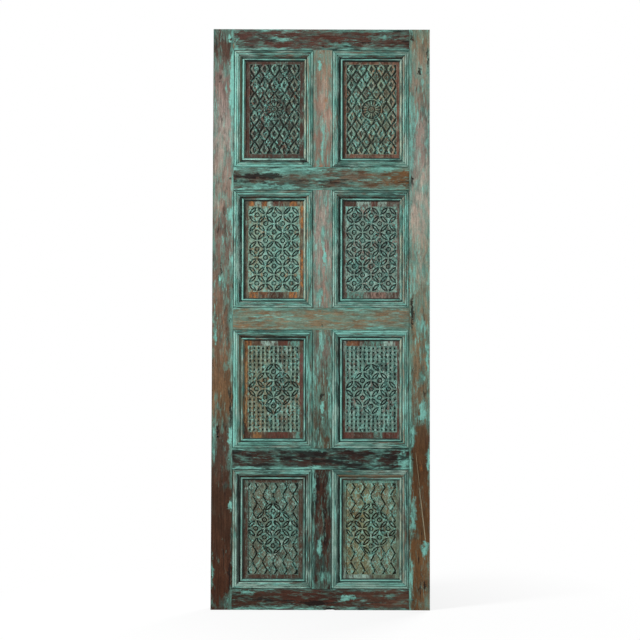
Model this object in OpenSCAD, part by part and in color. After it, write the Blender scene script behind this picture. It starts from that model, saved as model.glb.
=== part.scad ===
// A weathered stile-and-rail door leaf with eight carved panels.
// The front faces -Y, the bottom edge lies on Z = 0, and X = 0 is the middle of the width.
// Rows of panels are numbered from the top.

/* [Leaf] */
// Width of the leaf
door_w = 762; // [740:1:900]
// Thickness of the stiles and rails
door_t = 44; // [40:1:48]
// Height of each panel opening
opening_h = 413.5; // [400:0.5:450]

/* [Stiles, rails and mullions] */
// Width of each stile
stile_w = 73; // [65:1:90]
// Width of each mullion
mullion_w = 67; // [60:1:80]
// How far the mullions stand to the right of the middle
mullion_shift = 4.5; // [0:0.5:6]
// Width of the top rail
top_rail_w = 74; // [65:1:100]
// Width of the rail under the first row
upper_rail_w = 81; // [65:1:100]
// Width of the rail under the second row
middle_rail_w = 77; // [65:1:100]
// Width of the rail under the third row
lower_rail_w = 73; // [65:1:100]
// Width of the bottom rail
bottom_rail_w = 73; // [65:1:100]

/* [Joints] */
// Thickness of every tenon
tenon_t = 14; // [12:1:16]
// Shoulder left above and below a tenon
shoulder = 12; // [11:1:14]
// Length of the stub tenons on the mullions
stub_tenon = 25; // [20:1:30]
// Diameter of the pegs through the rail tenons
rail_peg_d = 8; // [5:0.5:10]
// Diameter of the pegs through the stub tenons
mullion_peg_d = 5; // [4:0.5:8]

/* [Panels] */
// How far the panel margin lies behind the face of the frame
panel_depth = 13; // [12:0.5:14]
// Thickness of the middle of a panel
panel_t = 19; // [16:1:22]
// Thickness of the tongue around a panel
tongue_t = 10; // [8:1:12]
// Depth of the grooves that hold the tongues
groove = 11; // [11:0.5:12]
// Gap left for the tongue at the bottom of its groove
play = 1.5; // [1:0.5:3]
// Depth of the carving
carve = 4.5; // [2:0.5:6]
// Half the width of one carved circle
unit = 30; // [26:0.5:30]

/* [Mouldings] */
// How far the crest of every moulding lies behind the face of the frame
crest_depth = 0.5; // [0:0.5:1]
// Width of the moulding under a panel
moulding_bottom_w = 34; // [30:1:40]
// Width of the moulding on the left of a panel
moulding_left_w = 40; // [30:1:42]
// Width of the moulding over a panel
moulding_top_w = 38; // [30:1:42]
// Width of the moulding on the right of a panel
moulding_right_w = 33; // [30:1:40]
// Length of a moulding brad
brad_l = 24; // [18:1:24]
// Diameter of a moulding brad
brad_d = 1.8; // [1.2:0.1:2.5]

/* [Hidden] */
front = -door_t / 2;
back = door_t / 2;
panel_front = front + panel_depth;
carve_floor = panel_front + carve;
past = 1;                       // how far a cutter runs past the face it opens
columns = ["left", "right"];
rail_names = ["bottom_rail", "lower_rail", "middle_rail", "upper_rail", "top_rail"];
rail_ws = [bottom_rail_w, lower_rail_w, middle_rail_w, upper_rail_w, top_rail_w];
sides = ["bottom", "left", "top", "right"];       // each a quarter turn on from the last
moulding_ws = [moulding_bottom_w, moulding_left_w, moulding_top_w, moulding_right_w];
rows = 4;
last_rail = rows;

// Heights, counted from the bottom; level 0 is the lowest row of panels
function rail_z(k) = k == 0 ? 0 : rail_z(k - 1) + rail_ws[k - 1] + opening_h;
function opening_z(level) = rail_z(level) + rail_ws[level] + opening_h / 2;
function row_level(row) = rows - row;
door_h = rail_z(last_rail) + rail_ws[last_rail];

// The two columns of openings, either side of the mullions
inner_x = door_w / 2 - stile_w;
mullion_x = mullion_shift;
opening_ws = [inner_x + mullion_x - mullion_w / 2, inner_x - mullion_x - mullion_w / 2];
opening_xs = [opening_ws[0] / 2 - inner_x, inner_x - opening_ws[1] / 2];

// Brads go in at a low angle, over the top of the panel groove
brad_angle = 25;
brad_at = 9;                    // from the frame to where a brad goes in
brad_sink = 18.6;               // how far the head lies in front of the middle plane
brad_spread = 0.31;             // of the moulding's length, either way from its middle

brad_clear = 12;                // length of the open hole in front of a brad's head

// Old damage: each hole is [x, z, diameter, depth], the crack runs between two points of
// the right stile, and the chip is out of the front of the bottom edge
old_holes = [[-359, 599, 7, 20], [-351, 699, 4, 8], [346, 79, 3.5, 8]];
crack_from = [343, 426];
crack_to = [364, 237];
crack_w = 1.4;
crack_depth = 3;
chip_x = 32;
chip_w = 30;
chip_h = 9;

// Carved shapes, mostly as shares of a circle's half width
land = 1;                       // left standing between two petals
core_r = unit * 0.82;           // of the arcs around a petal's raised core
ring_r = unit * 0.25;           // of the groove around a circle's middle
dot_r = unit * 0.12;            // of the raised dot inside that groove
grid_pitch = unit / 2;
grid_hole = grid_pitch * 0.56;
lattice = [unit * 35 / 30, unit * 57.5 / 30];     // from one large diamond to the next
large_share = 0.88;             // of the lattice that a large diamond fills
small_share = 0.45;
lattice_field = [5 * lattice[0], 5.5 * lattice[1]];
rosette_rs = [unit, unit * 1.23];
rosette_petals = [12, 16];
rim = 4;                        // width of the ring around the right rosette
rosette_gap = 1.5;              // cut clear around a rosette
petal_l = 0.5;                  // of a rosette's radius
petal_at = 0.58;
petal_w = 1.6;
boss_r = 0.24;

// The group of nine circles: half the cells across in each row of cells, and the circles'
// middles, both in units from the middle of the group
group_rows = [1, 2, 3, 3, 2, 1];
group_circles = [[0, 2], [-1, 1], [1, 1], [-2, 0], [0, 0], [2, 0], [-1, -1], [1, -1], [0, -2]];

frame_colour = [0.42, 0.36, 0.30];
rail_colour = [0.31, 0.22, 0.19];
moulding_colour = [0.42, 0.55, 0.51];
panel_colour = [0.33, 0.42, 0.38];
peg_colour = [0.20, 0.14, 0.11];
brad_colour = [0.25, 0.18, 0.15];

function mullion_name(row) = str("mullion_", row);
function panel_name(row, c) = str("panel_", row, "_", columns[c]);
function moulding_name(row, c, s) = str("moulding_", row, "_", columns[c], "_", sides[s]);

// ---- shared cutters and placing ----

// A box given by its two opposite corners
module box(low, high) {
    translate(low) cube(high - low);
}

// A flat outline in X and Z, cut or raised between two depths
module slab(from_y, to_y) {
    translate([0, to_y, 0]) rotate([90, 0, 0]) linear_extrude(to_y - from_y) children();
}

// Puts a moulding's own axes on one side of an opening: X along it, Z away from the frame
module on_side(row, c, s) {
    half = s % 2 == 0 ? opening_h / 2 : opening_ws[c] / 2;
    translate([opening_xs[c], 0, opening_z(row_level(row))])
        rotate([0, s * 90, 0])
            translate([0, 0, -half]) children();
}

// The groove around every opening, as one block per opening
module panel_grooves() {
    for (c = [0, 1], row = [1:rows])
        translate([opening_xs[c], 0, opening_z(row_level(row))])
            cube([opening_ws[c] + 2 * groove, tongue_t, opening_h + 2 * groove], center = true);
}

// One tenon at each end of every rail
module rail_tenons() {
    for (k = [0:last_rail], side = [-1, 1]) {
        near = side * inner_x;
        far = side * door_w / 2;
        box([min(near, far), -tenon_t / 2, rail_z(k) + shoulder],
            [max(near, far), tenon_t / 2, rail_z(k) + rail_ws[k] - shoulder]);
    }
}

// One stub tenon at each end of every mullion
module stub_tenons() {
    half = mullion_w / 2 - shoulder;
    for (row = [1:rows], end = [-1, 1])
        translate([mullion_x - half, -tenon_t / 2,
                   opening_z(row_level(row)) + end * (opening_h + stub_tenon) / 2 - stub_tenon / 2])
            cube([2 * half, tenon_t, stub_tenon]);
}

module peg(x, z, d) {
    translate([x, back, z]) rotate([90, 0, 0]) cylinder(h = door_t, d = d, $fn = 32);
}

module rail_pegs() {
    for (k = [0:last_rail], side = [-1, 1])
        peg(side * (inner_x + shoulder), rail_z(k) + rail_ws[k] / 2, rail_peg_d);
}

module stub_pegs() {
    for (row = [1:rows], end = [-1, 1])
        peg(mullion_x, opening_z(row_level(row)) + end * (opening_h / 2 + stub_tenon / 2), mullion_peg_d);
}

// Two brads in one moulding; more than 0 of over lengthens them past their heads
module brads(row, c, s, over = 0) {
    reach = brad_spread * (s % 2 == 0 ? opening_ws[c] : opening_h);
    on_side(row, c, s)
        for (x = [-reach, reach])
            translate([x, -brad_sink, brad_at])
                rotate([180 + brad_angle, 0, 0])
                    translate([0, 0, -over]) cylinder(h = brad_l + over, d = brad_d, $fn = 16);
}

module all_brads(over = 0) {
    for (row = [1:rows], c = [0, 1], s = [0:3]) brads(row, c, s, over);
}

// Everything that is let into the frame
module frame_cuts() {
    panel_grooves();
    rail_pegs();
    stub_pegs();
    all_brads();
}

// ---- carving, drawn flat about the middle of its panel ----

// The pointed oval between two circles whose centres lie a diagonal apart
module petal(r) {
    intersection() {
        translate([-unit / 2, -unit / 2]) circle(r, $fn = 48);
        translate([unit / 2, unit / 2]) circle(r, $fn = 48);
    }
}

// The petal of one cell, which lies along one diagonal or the other by turns
module petal_groove(i, j) {
    translate([i + 0.5, j + 0.5] * unit) rotate((i + j) % 2 == 0 ? 0 : 90) difference() {
        petal(unit - land);
        petal(core_r);
    }
}

module dot_groove(at) {
    translate(at * unit) difference() {
        circle(ring_r, $fn = 32);
        circle(dot_r, $fn = 32);
    }
}

// Overlapping circles all over
module circles_cuts() {
    for (i = [-3:2], j = [-5:4]) petal_groove(i, j);
    for (i = [-2:2], j = [-4:4])
        if ((i + j) % 2 == 0) dot_groove([i, j]);
}

function in_group(i, j) = j >= -3 && j <= 2 && abs(i + 0.5) < group_rows[j + 3];

module group_cuts() {
    for (j = [-3:2], i = [-3:2])
        if (in_group(i, j)) petal_groove(i, j);
    for (at = group_circles) dot_groove(at);
}

module group_outline() {
    for (at = group_circles)
        translate(at * unit) circle(unit, $fn = 48);
}

// Small square holes around the circle group, four to a cell
module grid_cuts() {
    for (i = [-6:5], j = [-10:9])
        if (!in_group(floor(i / 2), floor(j / 2)))
            translate([i + 0.5, j + 0.5] * grid_pitch) square(grid_hole, center = true);
    group_cuts();
}

module diamond(size) {
    polygon([[-size[0] / 2, 0], [0, -size[1] / 2], [size[0] / 2, 0], [0, size[1] / 2]]);
}

// Raised diamonds, six large ones in each of five columns and small ones between
module diamonds() {
    intersection() {
        square(lattice_field, center = true);
        union() {
            for (i = [-2:2], j = [-3:2])
                translate([i * lattice[0], (j + 0.5) * lattice[1]]) diamond(lattice * large_share);
            for (i = [-2:1], j = [-2:2])
                translate([(i + 0.5) * lattice[0], j * lattice[1]]) diamond(lattice * small_share);
        }
    }
}

// What stands up in a rosette: petals, a boss, and on the right door panel a ring
module rosette(c) {
    r = rosette_rs[c];
    if (c == 1) difference() {
        circle(r, $fn = 64);
        circle(r - rim, $fn = 64);
    }
    for (k = [0:rosette_petals[c] - 1])
        rotate(k * 360 / rosette_petals[c]) translate([r * petal_at, 0])
            diamond([petal_l * r, petal_w * r / rosette_petals[c]]);
    circle(r * boss_r, $fn = 32);
}

module rosette_cuts(c) {
    difference() {
        square(lattice_field, center = true);
        difference() {
            diamonds();
            circle(rosette_rs[c] + rosette_gap, $fn = 64);
        }
        rosette(c);
    }
}

module lattice_cuts() {
    difference() {
        square(lattice_field, center = true);
        diamonds();
        group_outline();
    }
    group_cuts();
}

module carving(row, c) {
    if (row == 1) rosette_cuts(c);
    if (row == 2) circles_cuts();
    if (row == 3) grid_cuts();
    if (row == 4) lattice_cuts();
}

// ---- the pieces ----

module stile(side) {
    color(frame_colour) difference() {
        box([side < 0 ? -door_w / 2 : inner_x, front, 0], [side < 0 ? -inner_x : door_w / 2, back, door_h]);
        rail_tenons();
        frame_cuts();
        for (hole = old_holes)
            translate([hole[0], front + hole[3], hole[1]]) rotate([90, 0, 0])
                cylinder(h = hole[3] + past, d = hole[2], $fn = 24);
        run = crack_to - crack_from;
        translate([crack_from[0], front - past, crack_from[1]])
            rotate([0, atan2(run[0], run[1]), 0])
                translate([-crack_w / 2, 0, 0]) cube([crack_w, crack_depth + past, norm(run)]);
    }
}

module rail(k) {
    color(rail_colour) difference() {
        union() {
            box([-inner_x, front, rail_z(k)], [inner_x, back, rail_z(k) + rail_ws[k]]);
            intersection() {
                rail_tenons();
                box([-door_w, front, rail_z(k)], [door_w, back, rail_z(k) + rail_ws[k]]);
            }
        }
        stub_tenons();
        frame_cuts();
        if (k == 0)
            translate([chip_x, front, 0]) rotate([45, 0, 0])
                cube([chip_w, chip_h, chip_h], center = true);
    }
}

module mullion(row) {
    low = opening_z(row_level(row)) - opening_h / 2;
    color(frame_colour) difference() {
        union() {
            box([mullion_x - mullion_w / 2, front, low],
                [mullion_x + mullion_w / 2, back, low + opening_h]);
            intersection() {
                stub_tenons();
                box([-door_w, front, low - stub_tenon], [door_w, back, low + opening_h + stub_tenon]);
            }
        }
        frame_cuts();
    }
}

module panel(row, c) {
    middle = panel_front + panel_t / 2;
    field_x = (moulding_left_w - moulding_right_w) / 2;
    color(panel_colour) translate([opening_xs[c], 0, opening_z(row_level(row))]) difference() {
        union() {
            translate([0, middle, 0]) cube([opening_ws[c], panel_t, opening_h], center = true);
            cube([opening_ws[c] + 2 * (groove - play), tongue_t, opening_h + 2 * (groove - play)],
                 center = true);
        }
        translate([field_x, 0, 0]) slab(panel_front - past, carve_floor) carving(row, c);
    }
}

// Section of a moulding of a given width: an outer slope up to a crest, a steep fall,
// a quirk and a small bead; Y is the depth
module moulding_section(w) {
    crest = front + crest_depth;
    polygon([
        [0, panel_front], [0, crest + 3], [w * 0.10, crest + 1.6], [w * 0.34, crest],
        [w * 0.42, crest + 0.8], [w * 0.62, crest + 7.5], [w * 0.70, crest + 8.5],
        [w * 0.74, crest + 7], [w * 0.86, crest + 7], [w * 0.92, crest + 8.5],
        [w, crest + 9.5], [w, panel_front]
    ]);
}

module moulding(row, c, s) {
    long = s % 2 == 0 ? opening_ws[c] : opening_h;
    w = moulding_ws[s];
    color(moulding_colour) difference() {
        on_side(row, c, s) intersection() {
            rotate([0, -90, 0]) linear_extrude(long, center = true) moulding_section(w);
            slab(front, panel_front + past)
                polygon([[-long / 2, 0], [long / 2, 0],
                         [long / 2 - moulding_ws[(s + 3) % 4], w],
                         [moulding_ws[(s + 1) % 4] - long / 2, w]]);
        }
        brads(row, c, s, over = brad_clear);
    }
}

module tenon_pegs() {
    color(peg_colour) rail_pegs();
}

module mullion_pegs() {
    color(peg_colour) stub_pegs();
}

module moulding_brads() {
    color(brad_colour) all_brads();
}

stile(-1);  // left_stile
stile(1);  // right_stile
for (k = [0:last_rail])
    rail(k);
for (row = [1:rows])
    mullion(row);
for (row = [1:rows], c = [0, 1])
    panel(row, c);
for (row = [1:rows], c = [0, 1], s = [0:3])
    moulding(row, c, s);
tenon_pegs();
mullion_pegs();
moulding_brads();
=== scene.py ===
"""A weathered door leaf: planks, mitred mouldings and carved panels, in worn turquoise paint."""
import contextlib
import math
import random

import bmesh
import bpy
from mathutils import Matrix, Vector


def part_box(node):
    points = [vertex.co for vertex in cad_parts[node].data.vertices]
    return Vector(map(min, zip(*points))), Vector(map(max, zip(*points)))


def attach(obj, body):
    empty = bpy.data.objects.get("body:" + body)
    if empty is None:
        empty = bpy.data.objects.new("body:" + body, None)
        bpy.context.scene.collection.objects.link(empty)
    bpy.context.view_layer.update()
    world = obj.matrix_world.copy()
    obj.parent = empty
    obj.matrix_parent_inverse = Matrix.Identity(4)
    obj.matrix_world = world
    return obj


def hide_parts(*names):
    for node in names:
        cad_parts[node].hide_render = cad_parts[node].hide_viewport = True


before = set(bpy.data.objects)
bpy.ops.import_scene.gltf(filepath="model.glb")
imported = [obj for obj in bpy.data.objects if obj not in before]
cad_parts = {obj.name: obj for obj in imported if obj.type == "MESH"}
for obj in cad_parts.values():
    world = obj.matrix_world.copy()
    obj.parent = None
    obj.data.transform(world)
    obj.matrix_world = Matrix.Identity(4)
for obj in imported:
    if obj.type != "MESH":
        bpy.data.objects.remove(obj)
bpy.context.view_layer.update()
bpy.ops.object.select_all(action="DESELECT")

MM = 0.001
X, Y, Z = 0, 1, 2
ROWS = (1, 2, 3, 4)
COLUMNS = ("left", "right")
SIDES = ("bottom", "left", "top", "right")  # each a quarter turn on from the last
RAILS = ("bottom_rail", "lower_rail", "middle_rail", "upper_rail", "top_rail")


# ---- sizes, from the frame ----

LEFT_STILE, RIGHT_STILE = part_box("left_stile"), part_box("right_stile")
FRONT, BACK = LEFT_STILE[0].y, LEFT_STILE[1].y
INNER = RIGHT_STILE[0].x                      # inner edge of the right stile
DOOR_H = LEFT_STILE[1].z
PANEL_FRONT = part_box("panel_1_left")[0].y
PANEL_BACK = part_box("panel_1_left")[1].y
CARVE = 4.5 * MM                              # depth of the carving
UNIT = 30 * MM                                # half the width of one carved circle
LATTICE = (35 * MM, 57.5 * MM)                # from one large diamond to the next
FIELD_H = 5.5 * LATTICE[1]                    # height of a field of diamonds
TENON = 7 * MM                                # half a tenon's thickness
SHOULDER = 12 * MM                            # of a rail or mullion beside its tenon
STUB = 25 * MM                                # a mullion's own tenon
TONGUE = 5 * MM                               # half a panel tongue's thickness
TONGUE_L = 9.5 * MM


def opening(row, column):
    """The lowest and highest corner of the opening round one panel, at the face of the frame."""
    level = len(ROWS) - row
    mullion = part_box(f"mullion_{row}")
    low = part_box(RAILS[level])[1].z
    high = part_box(RAILS[level + 1])[0].z
    if column == "left":
        return Vector((-INNER, FRONT, low)), Vector((mullion[0].x, FRONT, high))
    return Vector((mullion[1].x, FRONT, low)), Vector((INNER, FRONT, high))


def moulding_width(side):
    """Width of the moulding on one side of every opening."""
    low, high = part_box(f"moulding_1_left_{side}")
    return (high - low).x if side in ("left", "right") else (high - low).z


def field_middle(row, column):
    """The middle of the carved field, half way between the mouldings."""
    low, high = opening(row, column)
    shift = (moulding_width("left") - moulding_width("right")) / 2
    return Vector(((low.x + high.x) / 2 + shift, PANEL_FRONT, (low.z + high.z) / 2))


# ---- modelling helpers ----

def only(*pieces):
    """Selects these pieces alone; the first is active."""
    bpy.ops.object.select_all(action="DESELECT")
    for piece in pieces:
        piece.select_set(True)
    bpy.context.view_layer.objects.active = pieces[0]


@contextlib.contextmanager
def editing(piece=None):
    """Edit mode for the lines inside, on this piece or on the active one."""
    if piece:
        only(piece)
    bpy.ops.object.mode_set(mode="EDIT")
    yield
    bpy.ops.object.mode_set(mode="OBJECT")


def settle():
    """Puts the active piece's place, turn and scale into its mesh."""
    bpy.ops.object.transform_apply(location=True, rotation=True, scale=True)


def block(name, low, high):
    """A plain block between two corners, as a start."""
    low, high = Vector(low), Vector(high)
    bpy.ops.mesh.primitive_cube_add(size=1, location=(low + high) / 2, scale=high - low)
    piece = bpy.context.active_object
    piece.name = name
    settle()
    return piece


def pick(kind, test):
    """In edit mode, selects only the faces, edges or vertices that pass the test."""
    mesh = bmesh.from_edit_mesh(bpy.context.active_object.data)
    bpy.ops.mesh.select_mode(type={"faces": "FACE", "edges": "EDGE", "verts": "VERT"}[kind])
    bpy.ops.mesh.select_all(action="DESELECT")
    for part in getattr(mesh, kind):
        if test(part):
            part.select = True
    mesh.select_flush_mode()
    bmesh.update_edit_mesh(bpy.context.active_object.data)


def split(place, normal, **kept):
    """In edit mode, cuts the whole mesh along a plane."""
    bpy.ops.mesh.select_all(action="SELECT")
    bpy.ops.mesh.bisect(plane_co=place, plane_no=normal, **kept)


def draw_out(depth):
    """In edit mode, extrudes the selected faces in depth: below 0 towards the front."""
    bpy.ops.mesh.extrude_region_move(TRANSFORM_OT_translate={"value": (0, depth, 0)})


def run_of(edge):
    """Which axis an edge runs along, or None where it slants."""
    run = edge.verts[1].co - edge.verts[0].co
    for axis in (X, Y, Z):
        if abs(run[axis]) > 0.999 * run.length:
            return axis
    return None


def finish_with(piece, kind, **settings):
    """Adds one modifier and applies it."""
    only(piece)
    modifier = piece.modifiers.new(kind.title(), kind)
    for name, value in settings.items():
        setattr(modifier, name, value)
    bpy.ops.object.modifier_apply(modifier=modifier.name)


def cut_away(piece, *cutters):
    """Cuts the cutters out of a piece and throws them away."""
    for cutter in cutters:
        finish_with(piece, "BOOLEAN", operation="DIFFERENCE", object=cutter, solver="EXACT",
                    use_self=True)
        bpy.data.objects.remove(cutter)


def join(name, pieces):
    only(*pieces)
    if len(pieces) > 1:
        bpy.ops.object.join()
    piece = bpy.context.active_object
    piece.name = name
    return piece


def copy_of(piece, location, turn=0.0, scale=(1, 1, 1)):
    """A copy with its own mesh, turned about the depth axis."""
    twin = piece.copy()
    twin.data = piece.data.copy()
    twin.location = location
    twin.rotation_euler = (0, turn, 0)
    twin.scale = scale
    bpy.context.collection.objects.link(twin)
    return twin


def clouds(name, size):
    """A lumpy pattern for wear in the shape itself."""
    pattern = bpy.data.textures.new(name, "CLOUDS")
    pattern.noise_scale = size
    pattern.noise_depth = 2
    return pattern


def wear(piece, size, amount, direction="NORMAL", level=1.0, vertex_group=""):
    """Wears a surface back unevenly; level 1 only takes wood away, 0.5 also shifts it."""
    finish_with(piece, "DISPLACE", texture=clouds(f"wear_{size * 1000:.0f}", size),
                texture_coords="GLOBAL", strength=amount, direction=direction, mid_level=level,
                vertex_group=vertex_group)


# ---- stiles, rails and mullions ----

ARRIS = 0.9 * MM                              # radius worn on every long edge
OLD_HOLES = ((-359, 599, 7, 20), (-351, 699, 4, 8), (346, 79, 3.5, 8))   # x, z, diameter, depth
HOLLOWS = ((346, 1881, 9, 13, 2.0), (-357, 1150, 10, 22, 2.5), (-349, 1093, 7, 12, 1.5),
           (-352, 748, 9, 30, 2.0), (-366, 690, 8, 26, 1.6), (351, 905, 8, 34, 1.5),
           (362, 70, 9, 24, 2.2), (5, 741, 15, 26, 2.5), (-365, 330, 10, 60, 1.6),
           (-7, 452, 30, 14, 2.2), (60, 470, 44, 9, 1.5), (-150, 487, 60, 10, 1.5),
           (-230, 70, 50, 8, 1.4), (120, 52, 60, 8, 1.4), (-60, 1990, 70, 8, 1.2),
           (352, 1460, 9, 90, 1.4), (-345, 1620, 8, 80, 1.2))          # x, z, width, height, depth
CRACK = ((343, 426), (364, 237), 1.4, 3)      # from, to, width, depth
CHIP = (32, 30, 9)                            # middle, width, height


def cut_steps(axis, step):
    """In edit mode, cuts all long edges that run along an axis into equal steps."""
    mesh = bmesh.from_edit_mesh(bpy.context.active_object.data)
    lengths = {round(edge.calc_length(), 4) for edge in mesh.edges if run_of(edge) == axis}
    for length in sorted(lengths):
        if length > 2 * step:
            pick("edges", lambda edge: run_of(edge) == axis
                 and abs(edge.calc_length() - length) < 0.1 * MM)
            bpy.ops.mesh.subdivide(number_cuts=int(length / step))


def group(name, test):
    """Names the vertices that pass a test, so that a modifier can be kept to them."""
    with editing():
        pick("verts", test)
        bpy.ops.object.vertex_group_assign_new()
        bpy.context.active_object.vertex_groups.active.name = name


def squash_along(axis, factor):
    """Scales the whole active mesh along one axis, about the origin."""
    scale = [1.0, 1.0, 1.0]
    scale[axis] = factor
    with editing():
        bpy.ops.mesh.select_all(action="SELECT")
        bpy.ops.transform.resize(value=scale, center_override=(0, 0, 0))


def weather(piece, along, ends):
    """Runs of wear with the grain, then broad hollows, mostly in the two broad faces."""
    low, high = ends
    only(piece)
    group("faces", lambda v: min(v.co.y - FRONT, BACK - v.co.y) < 0.1 * MM
          and low + 3 * MM < v.co[along] < high - 3 * MM)
    group("sides", lambda v: low + 3 * MM < v.co[along] < high - 3 * MM)
    squash_along(along, 0.08)
    wear(piece, 0.008, 0.8 * MM, vertex_group="faces")
    only(piece)
    squash_along(along, 1 / 0.08)
    wear(piece, 0.07, 0.8 * MM, vertex_group="faces")
    wear(piece, 0.02, 0.45 * MM, vertex_group="sides")


def ball(x, z, width, height, depth):
    """An oval cutter, in mm, that leaves a shallow hollow in the front."""
    bpy.ops.mesh.primitive_uv_sphere_add(segments=18, ring_count=10, radius=1,
                                         location=(x * MM, FRONT, z * MM),
                                         scale=(width / 2 * MM, depth * MM, height / 2 * MM))
    settle()
    cutter = bpy.context.active_object
    wear(cutter, 0.012, 0.2 * min(width, height) * MM, level=0.5)
    return cutter


def damage(piece):
    """Old nail holes, knots and dents, the crack and the chip, where they fall on this piece."""
    low, high = [Vector(corner) / MM for corner in (piece.bound_box[0], piece.bound_box[6])]
    cutters = []
    for x, z, width, depth in OLD_HOLES:
        if low.x < x < high.x and low.z < z < high.z:
            bpy.ops.mesh.primitive_cylinder_add(vertices=14, radius=width / 2 * MM, depth=2 * depth * MM,
                                                location=(x * MM, FRONT, z * MM),
                                                rotation=(math.pi / 2, 0, 0))
            settle()
            cutters.append(bpy.context.active_object)
    for x, z, width, height, depth in HOLLOWS:
        if low.x < x - width / 2 and x + width / 2 < high.x and low.z < z - height / 2 \
                and z + height / 2 < high.z:
            cutters.append(ball(x, z, width, height, depth))
    (x1, z1), (x2, z2), width, depth = CRACK
    if low.x < x1 < high.x and low.z < z2 < z1 < high.z:
        length = math.hypot(x2 - x1, z2 - z1)
        crack = block("crack", (-width / 2 * MM, FRONT - depth * MM, -length / 2 * MM),
                      (width / 2 * MM, FRONT + depth * MM, length / 2 * MM))
        with editing():
            cut_steps(Z, 9 * MM)
        crack.location = ((x1 + x2) / 2 * MM, 0, (z1 + z2) / 2 * MM)
        crack.rotation_euler = (0, math.atan2(x1 - x2, z1 - z2), 0)
        only(crack)
        settle()
        wear(crack, 0.02, 5 * MM, "X", 0.5)
        cutters.append(crack)
    x, width, height = CHIP
    if low.x < x < high.x and low.z < height / 2 < high.z and high.x - low.x > high.z - low.z:
        cutters.append(ball(x, 0, width, 2 * height, 7))
        cutters.append(ball(x + 9, -1, 0.6 * width, 1.4 * height, 9))
    for cutter in cutters:
        cut_away(piece, cutter)


def grooves_for(low, high):
    """Blocks for the panel grooves that reach into the space between two corners."""
    reach = TONGUE_L + 1.5 * MM
    cutters = []
    for row in ROWS:
        for column in COLUMNS:
            near, far = opening(row, column)
            near, far = near - Vector((reach, 0, reach)), far + Vector((reach, 0, reach))
            if near.x < high.x and far.x > low.x and near.z < high.z and far.z > low.z:
                cutters.append(block("groove", (near.x, -TONGUE, near.z), (far.x, TONGUE, far.z)))
    return cutters


def tenon_box(rail, side):
    """The corners of one end of a rail's tenon, through the stile on that side."""
    low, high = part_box(rail)
    near, far = sorted((side * INNER, side * high.x))
    return Vector((near, -TENON, low.z + SHOULDER)), Vector((far, TENON, high.z - SHOULDER))


def plank(name, low, high, along):
    """A plain length of wood with its edges rounded, cut up finely enough to be worn."""
    across = X if along == Z else Z
    piece = block(name, low, high)
    with editing():
        bpy.ops.mesh.select_all(action="SELECT")
        bpy.ops.mesh.bevel(offset=ARRIS, segments=3, affect="EDGES")
        cut_steps(along, 12 * MM)
        cut_steps(across, 6 * MM)
        cut_steps(Y, 9 * MM)
    return piece


def make_stile(name, side):
    """A worn upright, grooved for the panels and mortised right through for the rails."""
    low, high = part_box(name)
    piece = plank(name, low, high, Z)
    play = Vector((2 * MM, 0.2 * MM, 0.2 * MM))
    cutters = grooves_for(low, high)
    for rail in RAILS:
        near, far = tenon_box(rail, side)
        cutters.append(block("mortise", near - play, far + play))
    cut_away(piece, join("cutters", cutters))
    weather(piece, Z, (low.z, high.z))
    damage(piece)
    return piece


def make_rail(name):
    """A worn rail between the stiles, with a tenon through each of them."""
    low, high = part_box(name)
    low, high = Vector((-INNER, low.y, low.z)), Vector((INNER, high.y, high.z))
    piece = plank(name, low, high, X)
    cutters = grooves_for(low, high)
    if cutters:
        cut_away(piece, join("cutters", cutters))
    weather(piece, X, (low.x, high.x))
    damage(piece)
    tenons = []
    for side in (-1, 1):
        near, far = tenon_box(name, side)
        tenon = block("tenon", near - Vector((MM, 0, 0)) * (side > 0), far + Vector((MM, 0, 0)) * (side < 0))
        finish_with(tenon, "BEVEL", width=0.8 * MM, segments=2)
        tenons.append(tenon)
    return join(name, [piece] + tenons)


def make_mullion(name):
    """A short worn upright between two rails, with a stub tenon into each."""
    low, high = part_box(name)
    low, high = low + Vector((0, 0, STUB)), high - Vector((0, 0, STUB))
    piece = plank(name, low, high, Z)
    cut_away(piece, join("cutters", grooves_for(low, high)))
    weather(piece, Z, (low.z, high.z))
    damage(piece)
    stubs = []
    for near, far in ((low.z - STUB, low.z + MM), (high.z - MM, high.z + STUB)):
        stub = block("stub", (low.x + SHOULDER, -TENON, near), (high.x - SHOULDER, TENON, far))
        finish_with(stub, "BEVEL", width=0.8 * MM, segments=2)
        stubs.append(stub)
    return join(name, [piece] + stubs)


# ---- mouldings ----

# Across a moulding, from the frame inwards: share of the width, and depth below the crest
MOULDING = ((0.0, 3.2), (0.03, 1.5), (0.09, 0.6), (0.20, 0.5), (0.235, 2.3), (0.265, 2.4), (0.30, 0.3),
            (0.34, 0.0), (0.38, 0.3), (0.415, 2.5), (0.445, 2.6), (0.48, 1.5), (0.54, 2.0), (0.60, 4.6),
            (0.65, 7.8), (0.685, 9.0), (0.725, 9.1), (0.755, 6.6), (0.80, 5.7), (0.86, 6.1),
            (0.90, 8.4), (0.95, 9.3), (1.0, 9.8))
JOINT = 0.35 * MM                             # half the gap in a mitre
SLOPE = 0.065                                 # of the small diamonds in the lowest row


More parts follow.
